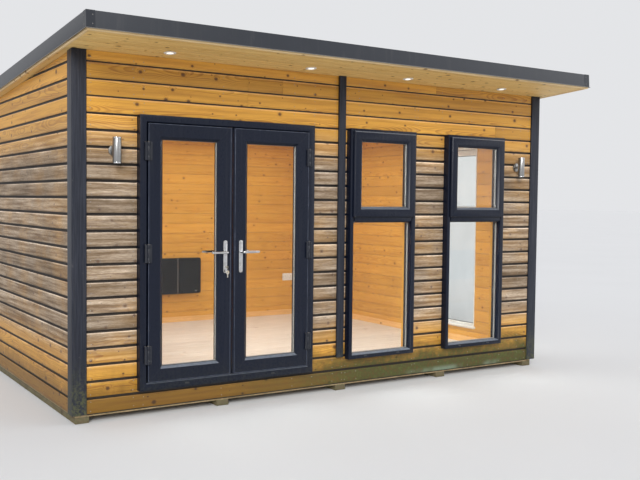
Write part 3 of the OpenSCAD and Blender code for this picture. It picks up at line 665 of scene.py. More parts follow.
def board_finish(name, early, late, knot, ring=0.006, knots=0.5, girth=1.0, variety=0.3,
                 shade=(0.2, 0.1, 0.04), shade_share=0.5, rough=0.5, weather=None, bump=0.0006, **fixed):
    """Pine on boards that carry their own grain coordinates, with painted shade in the joints between them.
    """
    def write(web, place):
        pine = web.use(PINE, {
            "Plank": web.layer("plank", "Vector"), "Tone": web.layer("tone"), "Variety": variety,
            "Ring": ring, "Knots": knots, "Girth": girth, "Early": early, "Late": late, "Knot": knot,
        })
        if weather:
            worn = web.use(WEATHER, {
                "Colour": pine["Colour"], "Position": place,
                "Streaks": web.span(pine["Streak"], 0.3, 0.72),
                "Value": web.span(web.layer("tone"), 0.1, 0.9, 0.72, 1.15, False),
                "Silvering": weather[0], "Algae": weather[1], "Shade": web.layer("shade"),
                "Knots": pine["Knot mask"], "Across": web.layer("across"),
            })
            return worn["Colour"], worn["Roughness"], pine["Height"]
        # Painted shade in the joints, mixed in by the shade layer
        colour = web.blend(web.layer("shade") * shade_share, pine["Colour"], shade)
        return colour, pine["Fibre"] * 0.15 + (rough - 0.07), pine["Height"]
    return finish(name, write, bump, **fixed)


def grain_finish(name, early, late, knot, way, rough=0.6, knots=0.3, foul=0.3, turn=None):
    """Pine on a CAD piece, its grain taken from the object's place: way picks the axis of the grain,
    and x and y change places beyond the distance turn from the middle."""
    def write(web, place):
        x, y, z = web.split(place)
        if turn:
            beyond = web.calc("GREATER_THAN", web.calc("ABSOLUTE", x), turn)
            change = beyond * (y - x)
            x, y = (x + change, y - change)
        order = {"x": (x, z, y), "y": (y, z, x), "z": (z, x, y)}[way]
        plank = web.join(*order) + (0.0, 0.031, -0.06)
        pine = web.use(PINE, {"Plank": plank, "Tone": web.noise(place, 1.7), "Variety": 0.2,
                              "Ring": 0.007, "Knots": knots, "Early": early, "Late": late, "Knot": knot})
        dirt = soiled(web, place, pine["Colour"], foul * 0.5, foul)
        return dirt["Colour"], pine["Fibre"] * 0.2 + (rough - 0.1), pine["Height"]
    return finish(name, write, 0.0006)


def foil(web, place, fine):
    """Foiled plastic with dust and splashes, and a grain as fine as it is told along each axis."""
    dirt = soiled(web, place, (0.0044, 0.0073, 0.0178), 0.08, 0.14)
    pores = web.noise(place * fine, 1.0, 2.0)
    return dirt, pores * 0.14 + 0.22 + dirt["Mask"] * 0.25, pores


def write_frame(web, place):
    """Foiled plastic with a painted pale bluish highlight on the faces that look up, patchy like dust."""
    dirt, rough, pores = foil(web, place, (700.0, 700.0, 60.0))
    upward = web.span(web.split(web.node("NewGeometry", out="Normal"))[2], 0.30, 0.80)
    # Painted highlight: the faces that look up are lightened towards a pale blue, broken up by grit
    film = upward * web.span(dirt["Grit"], 0.2, 0.7, 0.35, 0.7)
    return web.blend(film, dirt["Colour"], (0.22, 0.25, 0.3)), rough, pores


def two_tone_finish(name, seal):
    """Right wall's window: foil outside the plane of its seals and smooth white plastic inside it."""
    def write(web, place):
        dirt, rough, pores = foil(web, place, (700.0, 60.0, 60.0))
        film = web.noise(place, 40.0, 4.0, 0.6)
        white = web.fade(film, 0.35, 0.8, (0.80, 0.79, 0.76), (0.68, 0.66, 0.62))
        outside = web.calc("GREATER_THAN", web.split(place)[0], seal)
        return web.blend(outside, white, dirt["Colour"]), rough, pores
    return finish(name, write, 0.0001, Specular_IOR_Level=0.3)


def plain_finish(name, noise, edges, first, second, rough, bump=0.0001, stretch=None, share=None, **fixed):
    """Two colours mixed by a noise between its edges. Roughness and height follow the noise, or the
    mix where a share is given, which weakens the second colour."""
    def write(web, place):
        value = web.noise(place * stretch if stretch else place, *noise)
        mix = web.span(value, *edges)
        if share:
            value = mix
            mix = mix * share
        return web.blend(mix, first, second), value * rough[0] + rough[1], value
    return finish(name, write, bump, **fixed)


def write_paint(web, place):
    """Satin paint on planed timber: the grain shows through, with brush streaks and small scuffs."""
    grain = web.noise(place * (160.0, 160.0, 5.0), 1.0, 4.0, 0.6)
    brush = web.noise(place * (60.0, 60.0, 1.6), 1.0, 2.0)
    scuff = web.span(web.noise(place, 24.0, 5.0, 0.7), 0.66, 0.72)
    colour = web.fade(grain, 0.35, 0.7, (0.011, 0.0135, 0.022), (0.027, 0.030, 0.043))
    colour = web.blend(scuff * 0.25, colour, (0.13, 0.12, 0.12))
    dirt = soiled(web, place, colour, 0.25, 0.75)
    rough = brush * 0.18 + 0.36 + dirt["Mask"] * 0.25
    return dirt["Colour"], rough, grain + brush


def write_hinge(web, place):
    """Coated steel with a fine orange-peel skin and rubbed bright specks."""
    peel = web.noise(place, 320.0, 2.0)
    rub = web.span(web.noise(place, 60.0, 5.0, 0.7), 0.62, 0.7)
    colour = web.blend(rub * 0.3, (0.0085, 0.011, 0.019), (0.14, 0.15, 0.17))
    dirt = soiled(web, place, colour, 0.55, 0.2)
    return dirt["Colour"], peel * 0.15 + 0.3, peel


def write_polish(web, place):
    """Polished steel: faint buffing lines, finger marks and a little dust."""
    lines = web.noise(place * (40.0, 900.0, 900.0), 1.0, 3.0)
    marks = web.span(web.noise(place, 30.0, 4.0, 0.6), 0.4, 0.75)
    colour = web.blend(marks, (0.60, 0.60, 0.61), (0.44, 0.435, 0.43))
    rough = marks * 0.12 + (lines * 0.05 + 0.12)
    return colour, rough, lines


def write_brushed(web, place):
    """Brushed steel: scratches round the tube, water spots and a darker weathered bloom."""
    lines = web.noise(place * (30.0, 30.0, 1400.0), 1.0, 3.0, 0.6)
    spots = web.span(web.noise(place, 70.0, 4.0, 0.7), 0.55, 0.7)
    colour = web.blend(lines, (0.44, 0.44, 0.43), (0.25, 0.245, 0.24))
    colour = web.blend(spots * 0.35, colour, (0.2, 0.18, 0.16))
    rough = lines * 0.2 + 0.22 + spots * 0.2
    return colour, rough, lines


def write_rubber(web, place):
    """Roofing sheet: chalky bloom, ponding marks and leaf stains on a fine matt grain."""
    grain = web.noise(place, 420.0, 2.0)
    pond = web.noise(place, 1.6, 5.0, 0.62)
    ring = web.span(pond, 0.46, 0.5)
    colour = web.fade(pond, 0.25, 0.75, (0.050, 0.052, 0.054), (0.074, 0.075, 0.074))
    colour = web.blend(ring * 0.08, colour, (0.15, 0.14, 0.11))
    speck = web.span(web.noise(place, 34.0, 5.0, 0.75), 0.64, 0.7)
    colour = web.blend(speck * 0.5, colour, (0.09, 0.1, 0.04))
    return colour, grain * 0.2 + 0.62, grain


def write_coated(web, place):
    """Coated sheet metal: fine texture, chalking in runs and dust on the ledges."""
    peel = web.noise(place, 500.0, 2.0)
    dirt = soiled(web, place, (0.014, 0.017, 0.024), 0.25, 0.0)
    rough = peel * 0.12 + 0.34 + dirt["Mask"] * 0.2
    return dirt["Colour"], rough, peel


def write_white(web, place):
    """White moulded or sprayed fitting with a faint dust film."""
    film = web.noise(place, 45.0, 4.0, 0.6)
    skin = web.noise(place, 900.0, 1.0)
    colour = web.fade(film, 0.35, 0.8, (0.80, 0.80, 0.78), (0.70, 0.69, 0.66))
    return colour, film * 0.2 + 0.25, skin


def write_dark_glass(web, place):
    """Dark glass front: a smoky tint with a film of dust that breaks its gloss."""
    film = web.noise(place * (14.0, 14.0, 9.0), 1.0, 5.0, 0.6)
    colour = web.fade(film, 0.3, 0.8, (0.004, 0.004, 0.005), (0.014, 0.013, 0.012))
    return colour, web.span(film, 0.3, 0.8, 0.10, 0.26), film


def write_core(web, place):
    """Sawn framing wrapped in a dark breather sheet, seen only in the joints between boards."""
    weave = web.noise(place * (300.0, 300.0, 300.0), 1.0, 2.0)
    crease = web.noise(place, 6.0, 4.0, 0.6)
    colour = web.fade(crease, 0.3, 0.7, (0.018, 0.018, 0.019), (0.042, 0.041, 0.040))
    return colour, weave * 0.2 + 0.6, crease


def glass_finish():
    """Clear glass with a faint dirty film: light passes to the room as through plain air."""
    material, web = blank("sealed_unit_glass")
    place = web.place()
    film = web.noise(place * (5.0, 5.0, 2.2), 1.0, 5.0, 0.65)
    foot = web.span(web.split(place)[2], 0.30, 0.75, 1.0, 0.0)
    smear = web.span(film, 0.5, 0.85, 0.0, 0.012) + foot * 0.008
    shader = web.node("BsdfPrincipled", {
        "Base Color": web.fade(film, 0.3, 0.8, (0.985, 0.995, 0.99), (0.95, 0.965, 0.96)),
        "Roughness": smear, "Transmission Weight": 1.0, "IOR": 1.45, "Metallic": 0.0,
        "Specular Tint": (0.30, 0.31, 0.32),
    }, None)
    through = web.node("BsdfTransparent", {"Color": (0.93, 0.95, 0.945)})
    shadow = web.node("LightPath", out="Is Shadow Ray")
    mixed = web.node("MixShader", {0: shadow, 1: shader.outputs[0], 2: through})
    web.node("OutputMaterial", {"Surface": mixed}, None)
    return material


# The right window's frame and sash are white inside these planes, and the fascia's sides start there
FRAME_SEAL, SASH_SEAL, FASCIA_CORNER = 2.1385, 2.1815, 2.2035

cladding_wood = board_finish(
    "cladding_pine", (0.70, 0.360, 0.046), (0.39, 0.160, 0.020), (0.12, 0.042, 0.013), knots=0.55, girth=0.8,
    variety=0.5, weather=(0.95, 1.0), bump=0.0012,
)
lining_wood = board_finish(
    "lining_pine", (0.70, 0.375, 0.060), (0.55, 0.250, 0.034), (0.30, 0.118, 0.028), knots=0.92, girth=0.62,
    variety=0.22, rough=0.42, shade=(0.16, 0.065, 0.020), shade_share=0.9, Specular_IOR_Level=0.3,
)
soffit_wood = board_finish(
    "soffit_pine", (0.82, 0.58, 0.23), (0.62, 0.37, 0.10), (0.20, 0.085, 0.026), knots=0.6, girth=0.9,
    variety=0.12, rough=0.55, shade_share=0.6,
)
floor_wood = board_finish(
    "floor_boards_pale", (0.76, 0.72, 0.66), (0.60, 0.53, 0.45), (0.34, 0.24, 0.16), ring=0.008, knots=0.06,
    variety=0.14, shade=(0.22, 0.17, 0.12), rough=0.45,
)
skirting_wood = board_finish(
    "skirting_pine", (0.82, 0.50, 0.19), (0.66, 0.36, 0.11), (0.25, 0.10, 0.03), knots=0.2, girth=0.6,
    variety=0.1,
)
fascia_wood = grain_finish(
    "fascia_pine", (0.80, 0.60, 0.33), (0.58, 0.38, 0.16), (0.2, 0.09, 0.03), "x", knots=0.4,
    turn=FASCIA_CORNER,
)
treated_wood = grain_finish(
    "treated_timber", (0.15, 0.115, 0.060), (0.08, 0.058, 0.030), (0.04, 0.025, 0.012), "y", rough=0.8,
    foul=0.7,
)
joist_wood = grain_finish(
    "joist_timber", (0.42, 0.31, 0.17), (0.27, 0.18, 0.085), (0.1, 0.055, 0.02), "x", rough=0.8, foul=0.5,
)
deck_wood = grain_finish(
    "deck_sheet", (0.52, 0.40, 0.24), (0.36, 0.25, 0.13), (0.2, 0.12, 0.05), "x", rough=0.75, knots=0.8,
)
frame_foil = finish("anthracite_foil", write_frame, 0.00015, Specular_IOR_Level=0.26)
frame_two_tone = two_tone_finish("frame_foil_and_white", FRAME_SEAL)
sash_two_tone = two_tone_finish("sash_foil_and_white", SASH_SEAL)
post_paint = finish("anthracite_paint", write_paint, 0.0005, Specular_IOR_Level=0.3)
hinge_coat = finish("hinge_coating", write_hinge, 0.0002, Specular_IOR_Level=0.45)
polished = finish("polished_steel", write_polish, 0.00003, Metallic=1.0)
brushed = finish("brushed_lamp_steel", write_brushed, 0.00008, Metallic=1.0)
roof_sheet_rubber = finish("roof_rubber", write_rubber, 0.0004)
trim_coating = finish("trim_coating", write_coated, 0.0002)
white_fitting = finish("white_fitting", write_white, 0.00005)
heater_glass = finish("heater_dark_glass", write_dark_glass, 0.0001, Specular_IOR_Level=0.1)
core_wrap = finish("core_wrap", write_core, 0.002)
unit_glass = glass_finish()

# Lip round the edge of a leaf in a paler, smoother foil: a painted highlight along the lip
lip_foil = plain_finish("rubbed_foil", (1.0, 4.0, 0.6), (0.3, 0.7), (0.020, 0.027, 0.048),
                        (0.075, 0.088, 0.125), (0.2, 0.15), stretch=(30.0, 30.0, 9.0))
# Black seal with a faint bloom
gasket_rubber = plain_finish("black_seal", (80.0, 3.0), (0.4, 0.8), (0.012, 0.012, 0.013),
                             (0.035, 0.035, 0.036), (0.2, 0.5), 0.0002)
# Pale spacer bar with fine vent marks
spacer_bar = plain_finish("spacer_bar", (600.0, 1.0), (0.4, 0.7), (0.23, 0.225, 0.215), (0.16, 0.155, 0.15),
                          (0.0, 0.35))
# Plated screw and nail heads, dulled and spotted with rust
zinc = plain_finish("plated_fixings", (260.0, 4.0, 0.7), (0.5, 0.66), (0.34, 0.33, 0.31),
                    (0.16, 0.085, 0.045), (0.3, 0.38), share=0.7, Metallic=0.8)
# Plated key with worn brass showing
key_metal = plain_finish("key_metal", (180.0, 3.0), (0.5, 0.62), (0.66, 0.65, 0.62), (0.62, 0.47, 0.24),
                         (0.15, 0.22), share=1.0, Metallic=1.0)
# Frosted lens, speckled by its frosting
lens_frost = plain_finish("lamp_lens", (260.0, 2.0), (0.3, 0.7), (1.0, 0.93, 0.80), (1.0, 0.97, 0.90),
                          (0.2, 0.35), Emission_Strength=1.6)

for names, material in (
    ("bearers", treated_wood), ("floor_joists", joist_wood), ("floor_deck roof_deck", deck_wood),
    ("front_rails front_piers back_wall left_wall right_wall_piers right_wall_rails", core_wrap),
    ("corner_posts cover_strip", post_paint), ("side_window_frame", frame_two_tone),
    ("door_frame left_leaf right_leaf front_window_frames front_window_sashes", frame_foil),
    ("side_window_sash", sash_two_tone), ("frame_hinges left_hinges right_hinges", hinge_coat),
    ("left_handle_set right_handle_set left_lever right_lever", polished), ("fascia", fascia_wood),
    ("roof_cover", roof_sheet_rubber), ("roof_trim", trim_coating), ("wall_lamps", brushed),
    ("downlights double_socket", white_fitting), ("panel_heater", heater_glass),
):
    for node in names.split():
        mesh = NODES[node].data
        mesh.materials.clear()
        mesh.materials.append(material)
        mesh.shade_smooth()
        mesh.set_sharp_from_angle(angle=SHARP)

for width, names in (
    (0.0006, "wall_lamps"), (0.0007, "left_handle_set right_handle_set"), (0.0010, "roof_trim"),
    (0.0009, "front_window_sashes side_window_sash frame_hinges left_hinges right_hinges"),
    (0.0011, "door_frame front_window_frames side_window_frame"), (0.0012, "panel_heater"),
    (0.0015, "corner_posts cover_strip double_socket fascia"), (0.0030, "bearers"),
):
    for node in names.split():
        weld = NODES[node].modifiers.new("join corners", "WELD")
        weld.merge_threshold = 0.00002
        soft = NODES[node].modifiers.new("soft edges", "BEVEL")
        soft.width = width
        soft.segments = 2
        soft.limit_method = "ANGLE"
        soft.angle_limit = math.radians(34)
        soft.harden_normals = True


# Places read from the frame

front = box_of("front_cladding")
back = box_of("back_cladding")
left_end, right_end = solids("end_cladding")
front_room = box_of("front_lining")
back_room = box_of("back_lining")
left_room, right_room = solids("end_linings")
floor_low, floor_high = box_of("floor_boards")
side_low, side_high = box_of("side_window_frame")
bottom = front[0][2]
room_floor = floor_high[2]

door_hole = outline(box_of("door_frame"))
window_holes = [outline(box) for box in solids("front_window_frames")]
side_hole = outline((side_low, side_high), 1)
front_holes = [door_hole, *window_holes]


def roof_height(y):
    """Height of the soffit's underside: it falls by the pitch with the distance from the front."""
    return EAVES_Z - (y - FACE_Y) * math.tan(ROOF_PITCH)


def mirrored(holes):
    """The same openings seen from the other side of the wall."""
    return [(-right, -left, low, high) for left, right, low, high in holes]


def sheet(wall, box, y, slack=0.0):
    """Face, span and crown of a box that lies on a wall. The crown follows the roof's height, taken
    at y on a wall that runs along X and at the place along an end wall, where y is 0."""
    along, _, out = wall
    ends = sorted(corner @ along for corner in box)
    face = max(corner @ out for corner in box)
    return face, ends, lambda s: roof_height(s * along[1] + y) - slack


def clad(pile, gap, wall, box, foot, section, seed, openings=(), y=0.0, slack=0.001, top=None, joints=None):
    """Boards over a box that lies on a wall, cut to the roof's slope."""
    face, ends, crown = sheet(wall, box, y, slack)
    lay_boards(pile, wall, face, ends, (foot, top or box[1][2]), section, openings, crown, joints, seed, gap)


# Boards of the walls, outside and in the room

shiplap = board_section(BOARD_PITCH, 0.018, 0.0170, 0.0120, 0.0026)
close_shiplap = board_section(BOARD_PITCH, 0.018, 0.0100, 0.0050, 0.0026)
tongue = board_section(BOARD_PITCH, 0.012, 0.0010, 0.0050, 0.0030)
above_doors = bottom + 18 * BOARD_PITCH
BUTTS = {0: (1.62,), 1: (-0.862,), 2: (-0.862, -0.566), 3: (0.93,)}

# Each row: wall, box, foot, section, seed, openings, y if it runs along X, slack, top and butt joints
for name, node, gap, walls in (
    ("front_boards", "front_cladding", 0.003, [
        (FRONT, front, bottom, shiplap, 11, front_holes, front[0][1], 0.0006, above_doors),
        (FRONT, front, above_doors, close_shiplap, 15, front_holes, front[0][1], 0.0006, None,
         lambda row: BUTTS.get(row, ())),
    ]),
    ("back_boards", "back_cladding", 0.003, [
        (BACK, back, bottom, shiplap, 12, (), back[1][1], 0.0006, None,
         lambda row: [(-0.7, 0.9, 0.1)[row % 3]]),
    ]),
    ("end_boards", "end_cladding", 0.003, [
        (LEFT, left_end, bottom, shiplap, 13),
        (RIGHT, right_end, bottom, shiplap, 14, [side_hole]),
    ]),
    ("front_lining_boards", "front_lining", 0.001, [
        (FRONT_ROOM, front_room, room_floor, tongue, 21, mirrored(front_holes), front_room[1][1]),
    ]),
    ("back_lining_boards", "back_lining", 0.001, [
        (BACK_ROOM, back_room, room_floor, tongue, 22, (), back_room[1][1]),
    ]),
    ("end_lining_boards", "end_linings", 0.001, [
        (LEFT_ROOM, left_room, room_floor, tongue, 23),
        (RIGHT_ROOM, right_room, room_floor, tongue, 24, mirrored([side_hole])),
    ]),
):
    pile = Pile()
    for wall in walls:
        clad(pile, gap, *wall)
    wood, slot = (lining_wood, "lining") if "lining" in name else (cladding_wood, "cladding")
    pile.piece(name, wood, slot, replaces=(node,))


# Floor

floor_section = board_section(0.1875, 0.008, 0.0005, 0.003, 0.0009)
pile = Pile()
lay_boards(pile, FLOOR, room_floor, (floor_low[0], floor_high[0]), (floor_low[1], floor_high[1]),
           floor_section, joints=lambda row: np.arange(-2.4 + (row % 3) * 0.43, 2.2, 1.285), seed=31,
           gap=0.001, step=0.6, wave=0.00005)
pile.piece("floor_planks", floor_wood, "floor", replaces=("floor_boards",))


# Soffit and ceiling, in the roof's own plane

def slope_at(y):
    """Distance up the slope from the front cladding to a place along Y."""
    return (FACE_Y - y) / math.cos(ROOF_PITCH)


light_spots = [((low[0] + high[0]) / 2, slope_at((low[1] + high[1]) / 2 - 0.002))
               for low, high in solids("downlights")]
light_holes = [(x - 0.030, x + 0.030, t - 0.030, t + 0.030) for x, t in light_spots]
soffit_low, soffit_high = box_of("soffit")
ceiling_low, ceiling_high = box_of("ceiling")
wall_half = 2.1345
front_edge = slope_at(soffit_low[1]) - 0.0008
back_edge = slope_at(soffit_high[1]) + 0.0008
wall_front = slope_at(-1.782)
wall_back = slope_at(1.783)

soffit_section = board_section(BOARD_PITCH, 0.012, 0.0008, 0.0040, 0.0020)
side_section = board_section(0.088, 0.012, 0.0008, 0.0040, 0.0020)

sloping = {"start": ROOF_START, "wave": 0.0003}
across = (soffit_low[0], soffit_high[0])

pile = Pile()
lay_boards(pile, SOFFIT, 0.0, across, (wall_front, front_edge), soffit_section, light_holes, seed=41,
           gap=0.0008, butt=0.0012, joints=lambda row: [1.10], **sloping)
lay_boards(pile, SOFFIT, 0.0, across, (back_edge, wall_back), soffit_section, seed=42, gap=0.0008,
           joints=lambda row: [0.4], **sloping)
SOFFIT_SIDE = (SLOPE_UP, -X, SOFFIT[2])
for sign, seed in ((1, 43), (-1, 44)):
    edges = sorted((-sign * wall_half, -sign * soffit_high[0]))
    lay_boards(pile, SOFFIT_SIDE, 0.0, (wall_back, wall_front), edges, side_section, seed=seed, gap=0.0006,
               **sloping)
pile.piece("soffit_boards", soffit_wood, "soffit_pine", replaces=("soffit",))

pile = Pile()
room_back, room_front = slope_at(ceiling_high[1]) + 0.0012, slope_at(ceiling_low[1]) - 0.0012
lay_boards(pile, SOFFIT, 0.0, (ceiling_low[0], ceiling_high[0]), (room_back, room_front), soffit_section,
           seed=45, gap=0.001, **sloping)
pile.piece("ceiling_boards", soffit_wood, "soffit_pine", replaces=("ceiling",))


# Sealed units: two panes, a spacer bar between them and a seal in front

def wall_of(low, high):
    """Wall whose plane a thin box lies in, its edges as (left, right, low, high), its back and face."""
    if high[1] - low[1] < high[0] - low[0]:
        return FRONT, outline((low, high)), -high[1], -low[1]
    return RIGHT, outline((low, high), 1), low[0], high[0]


SEAL_SECTION = np.array([(-0.001, 0.0001), (0.0022, 0.0001), (0.0020, 0.0013), (0.0008, 0.0025),
                         (-0.001, 0.0029)])


def sealed_unit(panes, bars, seals, low, high):
    """Panes are thin bevelled blocks; bar and seals are small sections carried round the edge."""
    wall, hole, back, face = wall_of(low, high)
    way = 1 if wall is FRONT else 0
    inset = (wall[0] + Z) * 0.0015
    for near in (0, 1):
        one, two = low.copy(), high.copy()
        one[way] = low[way] + near * (high[way] - low[way] - 0.004)
        two[way] = one[way] + 0.004
        panes.add(block(one + inset, two - inset, 0.0006, way))
    bars.add(around(strip_section(-0.0002, 0.0036, back + 0.0042, face - 0.0042), wall, *hole))
    for at, sign in ((face, 1), (back, -1)):
        section = SEAL_SECTION * (1, sign) + (0, at)
        seals.add(around(section[::sign], wall, *hole))


for name, body, node in (
    ("window_units", "root", "window_glass"),
    ("left_door_unit", "left_door", "left_door_glass"),
    ("right_door_unit", "right_door", "right_door_glass"),
):
    panes, bars, seals = Pile(), Pile(), Pile()
    for low, high in solids(node):
        sealed_unit(panes, bars, seals, low, high)
    panes.piece(name, unit_glass, "clear_glass", body, (node,))
    bars.piece(name + "_spacer", spacer_bar, "trim_metal", body)
    seals.piece(name + "_seals", gasket_rubber, "roof_rubber", body)


# Reveals between the frames and the room

def grained(shape, way, seed):
    """Layers of a fitting that is cut from a board: grain along an axis."""
    points = shape[0]
    order = {0: (0, 2, 1), 1: (1, 2, 0), 2: (2, 0, 1)}[way]
    plank = points[:, order] * (1, 1, 0.5) + (seed * 3.7, -points[:, order[1]].mean(), -0.9)
    return {"plank": plank, "shade": np.zeros(len(points)), "tone": np.full(len(points), seed * 0.37 % 1)}


pile = Pile()
for number, hole in enumerate(mirrored(front_holes), 1):
    shape = around(strip_section(0.0, 0.010, -1.7575, -1.6945, 0.0015), FRONT_ROOM, *hole)
    pile.add(shape, **grained(shape, 2, number))
pile.piece("front_reveals", lining_wood, "lining")

pile = Pile()
room_x = right_room[0][0]
section = strip_section(0.0, 0.010, -side_low[0] + 0.0005, -room_x + 0.0035, 0.0015)
pile.add(around(section, RIGHT_ROOM, *mirrored([side_hole])[0]))
pile.add(block((room_x - 0.024, side_low[1] - 0.018, side_hole[2] + 0.0102),
               (side_low[0] - 0.001, side_high[1] + 0.018, side_hole[2] + 0.0282), 0.0045, 1, 4))
pile.piece("side_window_reveal", white_fitting, "socket_white")


# Lamps

# Distance of a wall lamp's axis from its front
LAMP_AXIS = 0.029
pile = Pile()
lens_profile = [(0.0245, 0.0), (0.0245, 0.0012), (0.020, 0.0021), (0.010, 0.0027), (0.002, 0.0029)]
for x, t in light_spots:
    middle = ROOF_START + x * X + t * SLOPE_UP - SOFFIT[2] * 0.0019
    pile.add(turned(lens_profile, middle, SOFFIT[2], 32))
lamp_boxes = solids("wall_lamps")
lens_profile = [(0.0258, 0.0), (0.0258, 0.003), (0.020, 0.0055), (0.008, 0.0068), (0.001, 0.007)]
for low, high in lamp_boxes:
    axis = ((low[0] + high[0]) / 2, low[1] + LAMP_AXIS)
    pile.add(turned(lens_profile, (*axis, high[2] - 0.0158), Z, 32))
    pile.add(turned(lens_profile, (*axis, low[2] + 0.0158), -Z, 32))
pile.piece("lamp_lenses", lens_frost, "downlight")


# Mitred corners of the frames

def mitre_seams(pile, wall, left, right, low, high, profile):
    """Welds at the four corners: a thin bar that follows a profile of [inset, distance out]
    along the diagonal of each corner."""
    along, up, out = wall
    section = [(-0.0005, -0.0006), (0.0005, -0.0006), (0.0005, 0.00012), (-0.0005, 0.00012)]
    for s, h, turn_s, turn_h in corners_of(left, right, low, high):
        path = [(s + turn_s * inset) * along + (h + turn_h * inset) * up + depth * out
                for inset, depth in profile]
        side = unit(turn_s * along - turn_h * up)
        for one, two in zip(path[:-1], path[1:]):
            away = unit(np.cross(two - one, side))
            pile.add(bar(section, [one, two], side, away * np.sign(away @ out)))


def leaf_ring(glass):
    """Outline of a leaf's mitred ring: the glass's outline, wider by the ring's face all round."""
    left, right, low, high = outline(box_of(glass))
    return left - LEAF_FACE, right + LEAF_FACE, low - LEAF_FACE, high + LEAF_FACE


LEAF_FACE = 0.106
LEAF_FRONT = 1.856
LEAF_PROFILE = [(0.002, LEAF_FRONT), (0.088, LEAF_FRONT), (0.106, LEAF_FRONT - 0.018)]
SASH_PROFILE = [(0.001, 1.870), (0.009, 1.878), (0.062, 1.878), (0.080, 1.860)]
FRAME_PROFILE = [(0.0, 1.853), (0.0305, 1.853), (0.041, 1.835)]
DOOR_PROFILE = [(0.0, 1.848), (0.045, 1.848)]
LIP_SECTION = [(0.0004, LEAF_FRONT - 0.001), (0.0004, LEAF_FRONT + 0.0001), (0.0012, LEAF_FRONT + 0.0005),
               (0.0024, LEAF_FRONT + 0.0007), (0.0040, LEAF_FRONT + 0.0005), (0.0050, LEAF_FRONT - 0.001)]
SIDE_FACE = 2.1515

for side in ("left", "right"):
    ring = leaf_ring(side + "_door_glass")
    mitres, lips = Pile(), Pile()
    mitre_seams(mitres, FRONT, *ring, LEAF_PROFILE)
    mitres.piece(side + "_leaf_mitres", hinge_coat, "anthracite_frame", side + "_door")
    lips.add(around(LIP_SECTION, FRONT, *ring))
    lips.piece(side + "_leaf_lips", lip_foil, "anthracite_frame", side + "_door")


def on_side(profile):
    """Profile of the front's windows, moved out to the face of the right wall."""
    return [(inset, depth + FACE_Y + SIDE_FACE) for inset, depth in profile]


pile = Pile()
mitre_seams(pile, FRONT, *door_hole, DOOR_PROFILE)
for hole in window_holes:
    mitre_seams(pile, FRONT, *hole, FRAME_PROFILE)
mitre_seams(pile, RIGHT, *side_hole, on_side(FRAME_PROFILE))
for box in solids("front_window_sashes"):
    mitre_seams(pile, FRONT, *outline(box), SASH_PROFILE)
mitre_seams(pile, RIGHT, *outline(box_of("side_window_sash"), 1), on_side(SASH_PROFILE))
pile.piece("frame_mitres", hinge_coat, "anthracite_frame")


# Fixings and small fittings

def screw_head(pile, middle, out, radius):
    """Domed head with a sunk round drive, turned from a short profile."""
    shares = [(1, -0.0006), (1, 0.0002), (0.86, 0.0009), (0.55, 0.0013), (0.45, 0.0013), (0.405, 0.0003),
              (0.05, 0.0003)]
    pile.add(turned([(share * radius, rise) for share, rise in shares], middle, out, 12))


def cap(pile, wall, s, h, face, width, height, depth, edge=0.0012):
    """Softened block that lies on a wall's face, given by its middle. A small one has round ends."""
    along, up, out = wall
    small = min(width, height)
    rings = []
    for at, inset in ((face - 0.001, 0.0), (face + depth - edge, 0.0), (face + depth, edge)):
        radius = small * 0.5 - inset - 0.0002 if small < 0.012 else 0.003 - inset * 0.6
        flat = rounded(width - 2 * inset, height - 2 * inset, radius, 4)
        rings.append((s + flat[:, :1]) * along + (h + flat[:, 1:]) * up + at * out)
    pile.add(loft(rings))


nail = turned([(0.0034, -0.0008), (0.0034, 0.0002), (0.0026, 0.0006), (0.0004, 0.0007)], np.zeros(3), -Y, 8)


def turn_to(shape, wall):
    """Shape drawn for the front wall, turned to face out of another wall."""
    points, faces = shape
    along, up, out = wall
    return points[:, :1] * along + points[:, 2:] * up - points[:, 1:2] * out, faces


def nail_rows(pile, wall, box, seed, openings=(), y=0.0):
    """Two nails a board at each stud, left out at the openings and above the crown."""
    along, up, out = wall
    face, (left, right), crown = sheet(wall, box, y)
    random = np.random.default_rng(seed)
    places = []
    studs = [left + 0.03, *np.arange(left + 0.4, right - 0.1, 0.6), right - 0.03]
    for o in openings:
        studs += [o[0] - 0.028, o[1] + 0.028]
    rows = int((box[1][2] - bottom) / BOARD_PITCH)
    for stud in studs:
        for row in range(rows + 1):
            for share in (0.24, 0.76):
                s = stud + random.normal(0, 0.0022)
                h = bottom + (row + share) * BOARD_PITCH + random.normal(0, 0.0022)
                blocked = any(o[0] - 0.012 < s < o[1] + 0.012 and o[2] - 0.01 < h < o[3] + 0.01
                              for o in openings)
                if not blocked and left < s < right and h < crown(s) - 0.02:
                    places.append(s * along + h * up + (face - 0.0006) * out)
    pile.repeat(turn_to(nail, wall), places)


pile = Pile()
strip_hole = (-0.066, 0.001, 0.27, 2.6)
nail_rows(pile, FRONT, front, 51, [*front_holes, strip_hole], front[0][1])
nail_rows(pile, BACK, back, 52, y=back[1][1])
nail_rows(pile, LEFT, left_end, 53)
nail_rows(pile, RIGHT, right_end, 54, [side_hole])
pile.piece("cladding_nails", zinc, "hinge_metal")

# Drain caps at the foot of each frame
pile = Pile()
for wall, (left, right, foot, _), face, rise, width, height in (
    (FRONT, door_hole, 1.848, 0.024, 0.034, 0.010),
    *[(FRONT, hole, 1.853, 0.017, 0.030, 0.009) for hole in window_holes],
    (RIGHT, side_hole, SIDE_FACE + 0.055, 0.017, 0.030, 0.009),
):
    for share in (0.25, 0.75):
        cap(pile, wall, left + (right - left) * share, foot + rise, face, width, height, 0.0035)
pile.piece("drain_caps", hinge_coat, "anthracite_frame")

